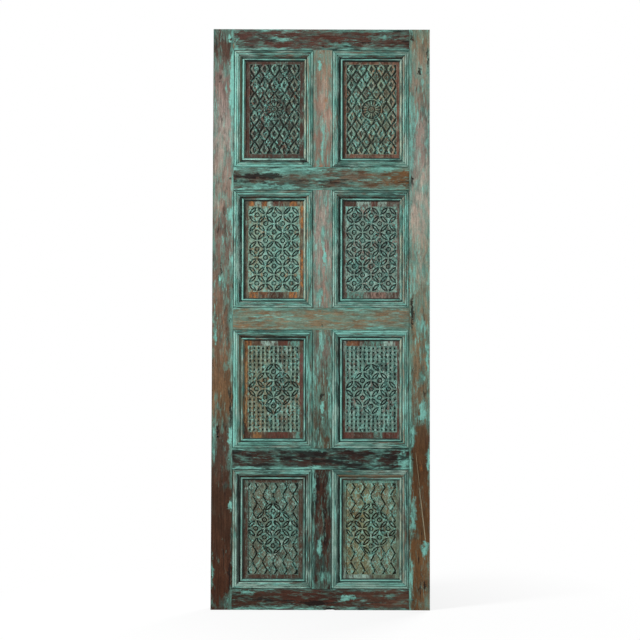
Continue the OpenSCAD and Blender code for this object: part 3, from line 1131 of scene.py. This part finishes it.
def panel_finish(name, row, column, top, worn, ground, margin, cover, bands=(), blocks=(),
                 depth=0.9, warm=0.3, sunk=(0.4, 3.4), shade=0.0):
    """A carved panel: paler on the raised wood and dark in the cuts, by painted shade that grows with depth;
    brown round the edge.
    """
    finish = Finish(name, Z, seed_of(name))
    lay_wood(finish, worn)
    lay_dirt(finish, 0.35, (), 0.012, 3, 0.6, UMBER)
    lay_paint(finish, DEEP_TURQUOISE, 0.6, 0.01, 3, film=0.4, soft=0.1, thick=0.0)
    lay_paint(finish, top, cover, 0.006, 2.2, film=0.5, soft=0.08, thick=0.2)
    lay_paint(finish, PALE_TURQUOISE, cover * 0.35, 0.006, 1.6, film=0.0, soft=0.06, thick=0.1)
    lay_dirt(finish, warm - 0.35, (), 0.009, 1.6, 0.7, worn)
    for x, width, colour, strength in bands:
        spot = finish.times(finish.band(X, x, width, 4), finish.ramp(finish.lumps(0.012, 4, 4), 0.3, 0.6))
        finish.coat(finish.times(spot, strength), colour)
    field = (3 * UNIT, 5 * UNIT) if row in (2, 3) else (2.5 * LATTICE[0], FIELD_H / 2)
    centre = field_middle(row, column)
    beside = finish.total(finish.sum("ABSOLUTE", finish.total(finish.axes[X], -centre.x)), -field[0])
    above = finish.total(finish.sum("ABSOLUTE", finish.total(finish.axes[Z], -centre.z)), -field[1])
    carved_side = finish.ramp(finish.axes[Y], TONGUE, TONGUE - 2 * MM)
    past = finish.ramp(finish.sum("MAXIMUM", beside, above), 0.2 * MM, 1.6 * MM)
    outside = finish.times(carved_side, past)
    rim = finish.mottle((0.6, 0.018, 2.0, 4, 0.65), (0.4, 0.006, 3, 3))
    finish.coat(finish.times(outside, finish.ramp(rim, 0.38, 0.52, 0.2, 0.9)), margin)
    for x, z, width, height, colour in blocks:
        spot = finish.times(finish.band(X, x, width, 3), finish.band(Z, z, height, 6))
        worn_off = finish.ramp(finish.lumps(0.006, 2, 4, 0.7), 0.36, 0.52, 0, 0.85)
        finish.coat(finish.times(outside, spot, worn_off), colour)
    smear = finish.ramp(finish.lumps(0.012, 3, 5, 0.7), 0.42, 0.62, 0, 0.75)
    finish.coat(finish.times(outside, smear), UMBER)
    low = finish.total(finish.axes[Y], finish.times(finish.lumps(0.009, 1.5, 4), 2.4 * MM),
                       -PANEL_FRONT - 1.2 * MM)
    if shade:
        finish.coat(finish.times(carved_side, finish.ramp(low, 0.4 * MM, 1.6 * MM, 0, shade)), worn, 0.8)
    # Painted shade: the deepest cuts take the dark ground colour, more with depth; in the lowest row this
    # draws the shadow beside each raised diamond.
    cut = finish.ramp(low, sunk[0] * MM, sunk[1] * MM, 0, depth)
    finish.coat(finish.times(carved_side, cut), ground, 0.8)
    inside = finish.times(carved_side, finish.total(1, finish.times(outside, -1)))
    stain = finish.mottle((0.5, 0.016, 1.5, 3), (0.5, 0.004, 1.5, 4))
    finish.coat(finish.times(inside, finish.ramp(stain, 0.5, 0.6, 0, 0.55)), ground, 0.8)
    fleck = finish.mottle((0.4, 0.02, 1.5, 3), (0.6, 0.0045, 1.5, 3))
    finish.coat(finish.times(inside, finish.ramp(fleck, 0.53, 0.6, 0, 0.65)), BRIGHT_TURQUOISE)
    lay_age(finish, 0.22, 0.1)
    return finish.done()


# ---- which finish each piece has ----

def dress(piece, material):
    piece.data.materials.clear()
    piece.data.materials.append(material)


def dress_door(pieces):
    """Gives every piece its finish; pieces is looked up by the CAD node's name."""
    for name, settings in PLANKS.items():
        along, across = (X, Z) if name in RAILS else (Z, X)
        strip = [corner[across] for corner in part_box(name)]
        dress(pieces[name], plank_finish(name + "_paint", along, strip=strip, **settings))
    for row in ROWS:
        for column in COLUMNS:
            dress(pieces[f"panel_{row}_{column}"],
                  panel_finish(f"panel_{row}_{column}_paint", row, column, **PANELS[row, column]))
            for side in SIDES:
                along, across = (X, Z) if side in ("bottom", "top") else (Z, X)
                edge = opening(row, column)[side in ("top", "right")][across]
                name = f"moulding_{row}_{column}_{side}"
                settings = MOULDINGS[row] | MOULDING_SIDE_LIGHT[side] | MOULDING_MARKS_AND_LIGHT.get((row, column, side), {})
                finish = moulding_finish(name + "_paint", along, edge, moulding_width(side), **settings)
                dress(pieces[name], finish)
    dress(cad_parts["tenon_pegs"], peg_finish("tenon_peg_wood"))
    dress(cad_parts["mullion_pegs"], peg_finish("mullion_peg_wood"))
    dress(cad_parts["moulding_brads"], nail_finish())


def peg_finish(name):
    """End grain, darkened, with paint left on it here and there."""
    finish = Finish(name, Y)
    lay_wood(finish, tint(72, 50, 38))
    lay_paint(finish, TURQUOISE, 0.35, 0.01, 1.0, film=0.4)
    lay_dirt(finish, 0.5, (), 0.006, 1)
    lay_age(finish)
    return finish.done()


def nail_finish():
    """Thin iron nails, rusted brown, some with paint on the head."""
    finish = Finish("rusted_nail", Y)
    scale = finish.ramp(finish.lumps(0.0012, 1, 4), 0.4, 0.6)
    finish.base(finish.mix(scale, tint(44, 28, 22), tint(94, 52, 32)))
    finish.coat(finish.ramp(finish.lumps(0.05), 0.5, 0.54, 0, 0.8), TURQUOISE)
    finish.relief = finish.times(finish.lumps(0.0008), 0.4)
    return finish.done()


# Places are in mm from the middle of the foot of the door: x to the right, z up.
PLANKS = {
    "left_stile": dict(
        woods=((0, tint(66, 40, 27)), (400, tint(62, 42, 30)), (560, tint(72, 56, 46)),
               (720, tint(100, 76, 53)),
               (1000, tint(104, 84, 68)), (1300, tint(104, 86, 76)), (1450, tint(128, 110, 98)),
               (1680, tint(142, 128, 120)), (1860, tint(116, 98, 90)), (1960, tint(76, 58, 49)),
               (2032, tint(70, 54, 46))),
        cover=0.1, edges=(0.02, 0.1), dirt=0.1, chalk=0.14, brown=0.2,
        paints=((-344, 280, 200, 760, -0.12), (-350, 800, 120, 420, -0.08), (-314, 1840, 26, 330, 0.2),
                (-370, 980, 18, 150, 0.14), (-318, 605, 22, 90, 0.16),
                (-372, 520, 22, 130, 0.12), (-315, 355, 26, 56, 0.22), (-376, 130, 12, 180, 0.16),
                (-330, 845, 22, 60, 0.12), (-322, 1380, 24, 60, 0.12), (-345, 1130, 40, 90, 0.06),
                (-357, 1146, 9, 26, 0.3), (-322, 1997, 14, 34, 0.2), (-330, 30, 30, 60, 0.1)),
        chalks=((-350, 1660, 60, 340, 0.26), (-360, 1430, 40, 120, 0.15)),
        ochres=((-352, 1405, 44, 40, 0.2), (-340, 960, 50, 160, 0.12), (-350, 790, 56, 220, 0.12),
                (-308, 1985, 12, 80, 0.3)),
        maroons=((-350, 1250, 50, 120, 0.12), (-352, 1900, 44, 120, 0.14), (-350, 470, 60, 200, 0.12)),
        darks=((-357, 1868, 26, 60, 0.14), (-352, 1178, 10, 80, 0.2), (-359, 612, 16, 40, 0.22),
               (-313, 690, 12, 200, 0.12), (-316, 1240, 8, 150, 0.14), (-370, 70, 24, 120, 0.1),
               (-316, 120, 14, 200, 0.14), (-318, 1985, 10, 40, 0.25), (-340, 2005, 60, 40, 0.1))),
    "right_stile": dict(
        woods=((0, tint(104, 76, 50)), (230, tint(98, 70, 44)), (400, tint(84, 58, 36)),
               (560, tint(80, 56, 36)),
               (740, tint(102, 86, 66)), (960, tint(114, 96, 72)), (1180, tint(142, 130, 110)),
               (1420, tint(168, 152, 138)), (1650, tint(142, 126, 116)), (1850, tint(146, 126, 108)),
               (2032, tint(122, 106, 84))),
        cover=0.26, edges=(0.08, 0.05), dirt=0.05, chalk=0.14, brown=0.1,
        paints=((350, 280, 120, 900, -0.09), (350, 790, 100, 240, -0.06), (350, 560, 90, 240, -0.15),
                (325, 330, 28, 170, 0.2), (364, 209, 34, 60, 0.3), (374, 530, 16, 110, 0.2),
                (350, 800, 34, 70, 0.16), (356, 690, 30, 80, 0.18), (324, 600, 20, 90, 0.18),
                (318, 1700, 26, 400, 0.08), (350, 980, 50, 120, 0.08), (312, 505, 16, 60, 0.2),
                (372, 880, 16, 160, 0.12), (318, 120, 16, 160, 0.08)),
        chalks=((344, 1380, 66, 340, 0.38), (350, 1180, 50, 140, 0.30), (330, 1850, 30, 200, 0.15)),
        ochres=((352, 640, 50, 300, 0.14), (350, 430, 60, 200, 0.14), (345, 60, 60, 160, 0.12),
                (365, 1080, 24, 120, 0.12)),
        maroons=((318, 1500, 26, 90, 0.2), (350, 130, 50, 120, 0.08)),
        strokes=((343, 430, 366, 236, 3.4, tint(150, 142, 118)), (329, 556, 343, 430, 2.2, tint(52, 44, 34)),
                 (331, 551, 345, 425, 1.6, tint(136, 122, 96))),
        darks=((374, 1890, 7, 260, 0.24), (350, 1690, 20, 190, 0.14), (356, 1585, 40, 70, 0.14),
               (346, 1881, 16, 24, 0.34), (318, 1040, 14, 170, 0.2), (364, 80, 12, 40, 0.26),
               (322, 790, 3, 380, 0.12), (346, 80, 10, 10, 0.3), (318, 2000, 10, 60, 0.2))),
    "top_rail": dict(
        woods=((-308, tint(74, 52, 46)), (0, tint(78, 48, 40)), (308, tint(76, 54, 46))),
        cover=0.0, edges=(0.12, 0.1), dirt=0.3, chalk=0.1, brown=0.4,
        paints=((-300, 1990, 16, 90, 0.14), (-150, 1996, 120, 26, 0.1), (60, 1978, 120, 26, 0.1),
                (200, 2004, 140, 24, 0.12)),
        darks=((-40, 2000, 140, 20, 0.1), (180, 1985, 160, 18, 0.08))),
    "upper_rail": dict(
        woods=((-308, tint(66, 50, 42)), (-60, tint(80, 70, 58)), (60, tint(92, 76, 62)),
               (308, tint(100, 72, 46))),
        cover=0.2, edges=(0.08, 0.1), dirt=0.25, chalk=0.1, brown=0.35,
        paints=((-120, 1530, 300, 30, 0.08), (-180, 1478, 260, 24, 0.12), (0, 1510, 90, 80, 0.06),
                (200, 1536, 200, 20, 0.1)),
        ochres=((190, 1520, 220, 46, 0.16), (120, 1500, 120, 40, 0.1), (-110, 1500, 60, 30, 0.14)),
        darks=((-210, 1512, 230, 24, 0.3), (-270, 1494, 90, 20, 0.22), (-300, 1504, 30, 60, 0.14))),
    "middle_rail": dict(
        woods=((-308, tint(116, 94, 70)), (0, tint(118, 100, 76)), (308, tint(116, 98, 76))),
        cover=0.2, edges=(0.06, 0.08), dirt=-0.1, chalk=0.1, brown=0.1,
        ochres=((-290, 1010, 50, 60, 0.16), (0, 1020, 300, 30, 0.05)),
        darks=((2, 993, 9, 10, 0.4), (-308, 1030, 8, 80, 0.2))),
    "lower_rail": dict(
        woods=((-308, tint(52, 34, 28)), (308, tint(50, 36, 32))),
        cover=0.06, edges=(0.12, 0.1), dirt=0.5, chalk=0.1, brown=0.5,
        paints=((200, 515, 240, 70, 0.06), (290, 520, 50, 80, 0.2), (-20, 497, 60, 20, 0.14),
                (-150, 520, 60, 50, 0.06)),
        maroons=((60, 515, 100, 30, 0.1), (-290, 500, 30, 60, 0.2)),
        darks=((-30, 538, 130, 34, 0.24), (60, 520, 110, 40, 0.14), (250, 530, 120, 30, 0.16),
               (-250, 525, 60, 40, 0.14), (-20, 508, 60, 30, 0.14))),
    "bottom_rail": dict(
        woods=((-308, tint(62, 42, 32)), (0, tint(66, 40, 32)), (308, tint(84, 60, 48))),
        cover=-0.06, edges=(0.12, 0.08), dirt=0.3, chalk=0.1, brown=0.4,
        paints=((95, 42, 60, 26, 0.2), (-250, 60, 70, 22, 0.14), (230, 50, 130, 30, 0.1),
                (-60, 12, 500, 18, 0.06)),
        darks=((-20, 24, 110, 30, 0.16), (-180, 36, 160, 30, 0.08), (34, 4, 40, 14, 0.3))),
    "mullion_1": dict(
        woods=((1500, tint(136, 108, 92)), (1700, tint(142, 118, 104)), (1990, tint(132, 112, 92))),
        cover=0.2, edges=(0.05, 0.05), dirt=-0.2, chalk=0.12, brown=-0.1,
        paints=((-6, 1905, 14, 60, 0.25), (6, 1640, 24, 260, 0.1), (-12, 1560, 20, 60, 0.15)),
        ochres=((14, 1780, 26, 140, 0.12), (-10, 1560, 30, 100, 0.14), (0, 1700, 40, 90, 0.1)),
        chalks=((4, 1820, 26, 200, 0.30),)),
    "mullion_2": dict(
        woods=((1030, tint(138, 112, 98)), (1250, tint(142, 124, 114)), (1500, tint(138, 122, 112))),
        cover=0.22, edges=(0.06, 0.04), dirt=-0.2, chalk=0.12, brown=-0.1,
        paints=((12, 1232, 14, 70, 0.3), (6, 1300, 24, 120, 0.1), (-4, 1100, 30, 60, 0.14)),
        chalks=((4, 1350, 30, 220, 0.30),)),
    "mullion_3": dict(
        woods=((540, tint(76, 60, 44)), (760, tint(86, 76, 62)), (900, tint(100, 92, 82)),
               (1010, tint(104, 92, 76))),
        cover=0.2, edges=(0.06, 0.1), dirt=0.05, chalk=0.1, brown=0.15,
        paints=((6, 700, 18, 70, 0.22), (4, 940, 30, 120, 0.1), (26, 780, 10, 200, 0.1)),
        darks=((4, 746, 18, 26, 0.3), (-20, 700, 10, 100, 0.1), (-20, 620, 12, 120, 0.1))),
    "mullion_4": dict(
        woods=((60, tint(62, 44, 36)), (300, tint(62, 42, 33)), (500, tint(54, 34, 26))),
        cover=-0.02, edges=(0.12, 0.08), dirt=0.35, chalk=0.1, brown=0.4,
        paints=((-2, 215, 24, 100, 0.22), (-18, 400, 14, 160, 0.14), (6, 120, 30, 60, 0.1)),
        maroons=((-8, 300, 14, 160, 0.2),),
        darks=((14, 300, 12, 260, 0.14), (0, 440, 40, 90, 0.16))),
}

MOULDINGS = {
    1: dict(wood=tint(122, 98, 80), cover=0.65, bright=0.3),
    2: dict(wood=tint(116, 94, 78), cover=0.6, bright=0.3),
    3: dict(wood=tint(104, 78, 62), cover=0.6, bright=0.35),
    4: dict(wood=tint(96, 76, 62), cover=0.6, bright=0.2, paint=tint(102, 138, 126)),
}
BROWN_GREEN = tint(96, 92, 72)
# Each side's settings paint light and shade as from a lamp at the upper left: a painted highlight on the left
# side's outer band with a painted shadow band inside it, the top side darker all over, and painted highlights
# on the beads of the right and bottom sides. Lines run along a moulding, from share to share of its width
# inwards, each a colour and how unbroken it is.
MOULDING_SIDE_LIGHT = {
    "left": dict(pale=0.45, lines=((0.04, 0.2, PALE_TURQUOISE, 0.5), (0.5, 0.7, SOOT_AND_SHADOW, 0.75),
                                   (0.74, 0.9, BRIGHT_TURQUOISE, 0.7), (0.93, 1.1, UMBER, 0.5))),
    "right": dict(grime_and_shade=0.55, cover=0.45, pale=0.3, lines=((0.46, 0.66, tint(112, 104, 88), 0.6),
                                                          (0.74, 0.95, tint(148, 156, 136), 0.6))),
    "top": dict(cover=0.48, bright=0.05, pale=0.05, dirt=0.35, grime_and_shade=0.9,
                lines=((0.28, 0.4, BRIGHT_TURQUOISE, 0.6), (0.5, 0.74, UMBER, 0.6),
                       (0.76, 0.88, BRIGHT_TURQUOISE, 0.6))),
    "bottom": dict(dirt=0.15, lines=((0.02, 0.2, PALE_TURQUOISE, 0.5), (0.44, 0.56, BRIGHT_TURQUOISE, 0.5),
                                     (0.74, 0.9, BRIGHT_TURQUOISE, 0.8))),
}
# Single mouldings: their real colours, and more painted shadow bands and painted highlights on their beads,
# as from the lamp at the upper left.
MOULDING_MARKS_AND_LIGHT = {
    (1, "left", "left"): dict(grime_and_shade=0.4, lines=((0.04, 0.3, BRIGHT_TURQUOISE, 0.7),
                                                (0.5, 0.68, BROWN_GREEN, 0.8),
                                                (0.72, 0.9, BRIGHT_TURQUOISE, 0.9), (0.93, 1.1, TAN, 0.5))),
    (1, "left", "bottom"): dict(lines=((0.02, 0.3, BRIGHT_TURQUOISE, 0.7), (0.5, 0.7, SOOT_AND_SHADOW, 0.8),
                                       (0.74, 0.92, tint(150, 196, 184), 1.1)),
                                blots=((-60, 1568, 30, 40, 0.4),)),
    (3, "left", "left"): dict(grime_and_shade=0.45, lines=((0.04, 0.3, BRIGHT_TURQUOISE, 0.6),
                                                 (0.5, 0.7, BROWN_GREEN, 0.8),
                                                 (0.74, 0.88, BROWN_GREEN, 0.6), (0.93, 1.1, OCHRE, 0.5))),
    (3, "right", "top"): dict(bright=0.5, pale=0.4, dirt=0.1, lines=((0.05, 0.4, BRIGHT_TURQUOISE, 0.7),
                                                                     (0.76, 0.9, BRIGHT_TURQUOISE, 0.8))),
    (4, "left", "left"): dict(lines=((0.04, 0.2, BROWN_GREEN, 0.6), (0.46, 0.72, SOOT_AND_SHADOW, 0.9),
                                     (0.74, 0.88, TURQUOISE, 0.6), (0.93, 1.1, UMBER, 0.6))),
    (4, "left", "right"): dict(grime_and_shade=0.8, lines=((0.46, 0.7, SOOT_AND_SHADOW, 0.5), (0.74, 0.9, TURQUOISE, 0.6))),
    (3, "left", "right"): dict(grime_and_shade=0.7, lines=((0.46, 0.7, UMBER, 0.5),
                                                 (0.74, 0.9, BRIGHT_TURQUOISE, 0.5))),
    (1, "left", "top"): dict(bright=0.0, dirt=0.5),
    (1, "right", "bottom"): dict(dirt=0.35, bright=0.15),
    (4, "right", "top"): dict(grime_and_shade=0.5, lines=((0.5, 0.75, tint(112, 92, 70), 0.9),
                                                (0.76, 0.9, BRIGHT_TURQUOISE, 0.5))),
}

# ground is a dark colour laid on the deepest cuts as painted shade, and in random stains; sunk is the range
# of depth in mm over which that painted shade comes in, and depth its strength.
PANELS = {
    (1, "left"): dict(top=tint(98, 132, 118), worn=tint(92, 62, 50), ground=tint(34, 40, 37),
                      margin=tint(66, 48, 42), cover=0.42, shade=0.3,
                      bands=((-262, 50, tint(96, 60, 50), 0.5), (-206, 16, tint(90, 48, 46), 0.5),
                             (-100, 34, tint(104, 80, 62), 0.45))),
    (1, "right"): dict(shade=0.2, top=tint(112, 146, 128), worn=tint(132, 100, 78), ground=tint(42, 50, 44),
                       margin=tint(108, 76, 62), cover=0.48,
                       bands=((206, 70, tint(128, 112, 80), 0.4), (250, 14, tint(156, 96, 66), 0.5),
                              (276, 26, tint(132, 78, 66), 0.6))),
    (2, "left"): dict(top=tint(112, 146, 132), worn=tint(132, 104, 74), ground=tint(38, 46, 44),
                      margin=tint(88, 80, 66), cover=0.6, depth=0.85,
                      bands=((-232, 50, tint(140, 120, 84), 0.3), (-66, 26, tint(166, 128, 78), 0.45)),
                      blocks=((-245, 1423, 16, 90, OCHRE), (-220, 1423, 22, 90, PALE_TURQUOISE),
                              (-200, 1423, 18, 90, OCHRE), (-179, 1423, 20, 90, PALE_TURQUOISE),
                              (-152, 1423, 36, 90, MAROON), (-98, 1423, 26, 90, OCHRE),
                              (-236, 1101, 30, 90, OCHRE), (-200, 1101, 26, 90, CHESTNUT),
                              (-158, 1101, 46, 90, UMBER), (-98, 1101, 28, 90, OCHRE),
                              (-64, 1370, 16, 80, OCHRE), (-64, 1190, 16, 130, OCHRE))),
    (2, "right"): dict(top=tint(112, 138, 126), worn=tint(126, 104, 94), ground=tint(38, 44, 42),
                       margin=tint(96, 82, 74), cover=0.5, depth=0.85, warm=0.45,
                       blocks=((92, 1423, 60, 90, UMBER), (150, 1423, 50, 90, PALE_TURQUOISE),
                               (190, 1423, 30, 90, MAROON), (214, 1423, 30, 90, PALE_TURQUOISE),
                               (120, 1101, 60, 90, TURQUOISE), (200, 1101, 50, 90, MAUVE))),
    (3, "left"): dict(top=tint(110, 136, 120), worn=tint(118, 88, 62), ground=tint(32, 38, 34),
                      margin=tint(74, 52, 40), cover=0.5, warm=0.4,
                      bands=((-226, 76, tint(112, 96, 68), 0.5), (-140, 46, tint(74, 52, 48), 0.4)),
                      blocks=((-256, 935, 24, 90, OCHRE), (-180, 938, 60, 90, PALE_TURQUOISE),
                              (-130, 938, 40, 90, MAROON), (-95, 936, 40, 90, TURQUOISE),
                              (-262, 780, 10, 300, tint(140, 106, 66)),
                              (-222, 618, 30, 90, tint(128, 92, 56)),
                              (-150, 616, 70, 90, MAROON), (-80, 618, 16, 90, TURQUOISE),
                              (-262, 618, 30, 90, UMBER),
                              (-66, 800, 20, 180, tint(96, 62, 58)))),
    (3, "right"): dict(top=tint(102, 134, 122), worn=tint(112, 92, 84), ground=tint(28, 32, 31),
                       margin=tint(84, 56, 48), cover=0.62,
                       blocks=((110, 945, 50, 90, CHESTNUT), (250, 780, 26, 330, tint(98, 66, 58)),
                               (74, 930, 30, 90, PALE_TURQUOISE), (190, 930, 80, 90, TURQUOISE),
                               (240, 930, 40, 90, PALE_TURQUOISE), (200, 615, 30, 90, TURQUOISE),
                               (80, 616, 50, 90, MAROON), (250, 618, 60, 90, MAROON),
                               (140, 618, 50, 90, UMBER))),
    (4, "left"): dict(top=tint(86, 116, 104), worn=tint(86, 66, 50), ground=tint(24, 26, 22),
                      margin=tint(68, 48, 38), cover=0.66, sunk=(3.2, 3.9), shade=0.45,
                      bands=((-210, 60, tint(112, 96, 70), 0.3),)),
    (4, "right"): dict(top=tint(100, 132, 114), worn=tint(106, 84, 56), ground=tint(28, 28, 22),
                       margin=tint(100, 112, 94), cover=0.66, sunk=(3.2, 3.9), shade=0.45,
                       blocks=((170, 450, 200, 90, TURQUOISE), (120, 100, 120, 90, PALE_TURQUOISE)),
                       bands=((130, 80, tint(132, 116, 66), 0.35),)),
}


# ---- the whole door ----

def stand_for(piece, node):
    """Fits a finished piece in the place of its CAD node."""
    only(piece)
    bpy.ops.object.shade_smooth_by_angle(angle=math.radians(40))
    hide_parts(node)
    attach(piece, "root")


def make_door():
    """Every piece but the pegs and nails, by the name of its CAD node."""
    pieces = {}
    for name, side in (("left_stile", -1), ("right_stile", 1)):
        pieces[name] = make_stile(name, side)
        stand_for(pieces[name], name)
    for name in RAILS:
        pieces[name] = make_rail(name)
        stand_for(pieces[name], name)
    for row in ROWS:
        name = f"mullion_{row}"
        pieces[name] = make_mullion(name)
        stand_for(pieces[name], name)
    for key, piece in fit_mouldings().items():
        name = "moulding_{}_{}_{}".format(*key)
        pieces[name] = piece
        stand_for(piece, name)
    shapes = make_shapes()
    for row in ROWS:
        for column in COLUMNS:
            name = f"panel_{row}_{column}"
            pieces[name] = make_panel(shapes, row, column)
            stand_for(pieces[name], name)
    for shape in shapes.values():
        bpy.data.objects.remove(shape)
    for node, piece in pieces.items():
        piece.name = node + "_worn"
    return pieces


dress_door(make_door())


# ---- stage, camera and light ----

def make_camera():
    """Square on and a little below the middle, looking slightly up."""
    distance, tilt, roll = 4.0, math.radians(1.72), math.radians(-0.15)
    aim = Vector((-0.003, 0, DOOR_H / 2 - 0.008))
    camera = bpy.data.cameras.new("camera")
    camera.lens = 64
    camera.sensor_width = 36
    holder = bpy.data.objects.new("camera", camera)
    holder.location = aim + Vector((0, -distance * math.cos(tilt), -distance * math.sin(tilt)))
    holder.rotation_mode = "XYZ"
    holder.rotation_euler = (math.pi / 2 + tilt, roll, 0)
    bpy.context.collection.objects.link(holder)
    bpy.context.scene.camera = holder


def make_lamp(name, location, aim, size, power):
    lamp = bpy.data.lights.new(name, "AREA")
    lamp.shape = "SQUARE"
    lamp.size = size
    lamp.energy = power
    holder = bpy.data.objects.new(name, lamp)
    holder.location = location
    holder.rotation_euler = (Vector(aim) - Vector(location)).to_track_quat("-Z", "Y").to_euler()
    bpy.context.collection.objects.link(holder)


def white_to_camera(tree, shader, out, share):
    """Shows white to the camera, and lets the light through to everything else."""
    path = add_node(tree, "ShaderNodeLightPath").outputs
    seen = add_node(tree, "ShaderNodeMath", path["Is Camera Ray"], path["Is Glossy Ray"],
                    operation="MAXIMUM")
    part = add_node(tree, "ShaderNodeMath", seen.outputs[0], share, operation="MULTIPLY")
    kind = "ShaderNodeBackground" if out.type == "OUTPUT_WORLD" else "ShaderNodeEmission"
    white = add_node(tree, kind, (1, 1, 1, 1), 1.0)
    mix = add_node(tree, "ShaderNodeMixShader", part.outputs[0], shader.outputs[0], white.outputs[0])
    tree.links.new(mix.outputs[0], out.inputs["Surface"])


def make_stage():
    """A white floor that keeps the shadow, and white all round."""
    world = bpy.data.worlds.new("studio")
    world.use_nodes = True
    bpy.context.scene.world = world
    tree = world.node_tree
    sky = tree.nodes["Background"]
    sky.inputs["Color"].default_value = (0.95, 0.98, 1.0, 1)
    sky.inputs["Strength"].default_value = 0.22
    white_to_camera(tree, sky, tree.nodes["World Output"], 1.0)

    bpy.ops.mesh.primitive_plane_add(size=30, location=(0, 0, 0))
    floor = bpy.context.active_object
    floor.name = "floor"
    settle()
    paint = bpy.data.materials.new("floor")
    paint.use_nodes = True
    tree = paint.node_tree
    tree.nodes.clear()
    out = add_node(tree, "ShaderNodeOutputMaterial")
    matt = add_node(tree, "ShaderNodeBsdfDiffuse", (0.82, 0.82, 0.82, 1))
    place = add_node(tree, "ShaderNodeTexCoord").outputs["Object"]
    reach = add_node(tree, "ShaderNodeVectorMath", place, operation="LENGTH").outputs["Value"]
    fade = add_node(tree, "ShaderNodeMapRange", reach, 0.4, 1.2, 0.8, 1.0)
    white_to_camera(tree, matt, out, fade.outputs[0])
    floor.data.materials.append(paint)

    centre = (0, 0, DOOR_H / 2)
    make_lamp("key", (-3.4, -1.8, 2.6), centre, 0.8, 246)
    make_lamp("fill", (0.6, -4.0, 1.6), centre, 2.0, 36)
    make_lamp("back_key", (2.2, 2.8, 3.2), centre, 1.8, 120)


make_camera()
make_stage()
bpy.context.scene.view_settings.view_transform = "Standard"
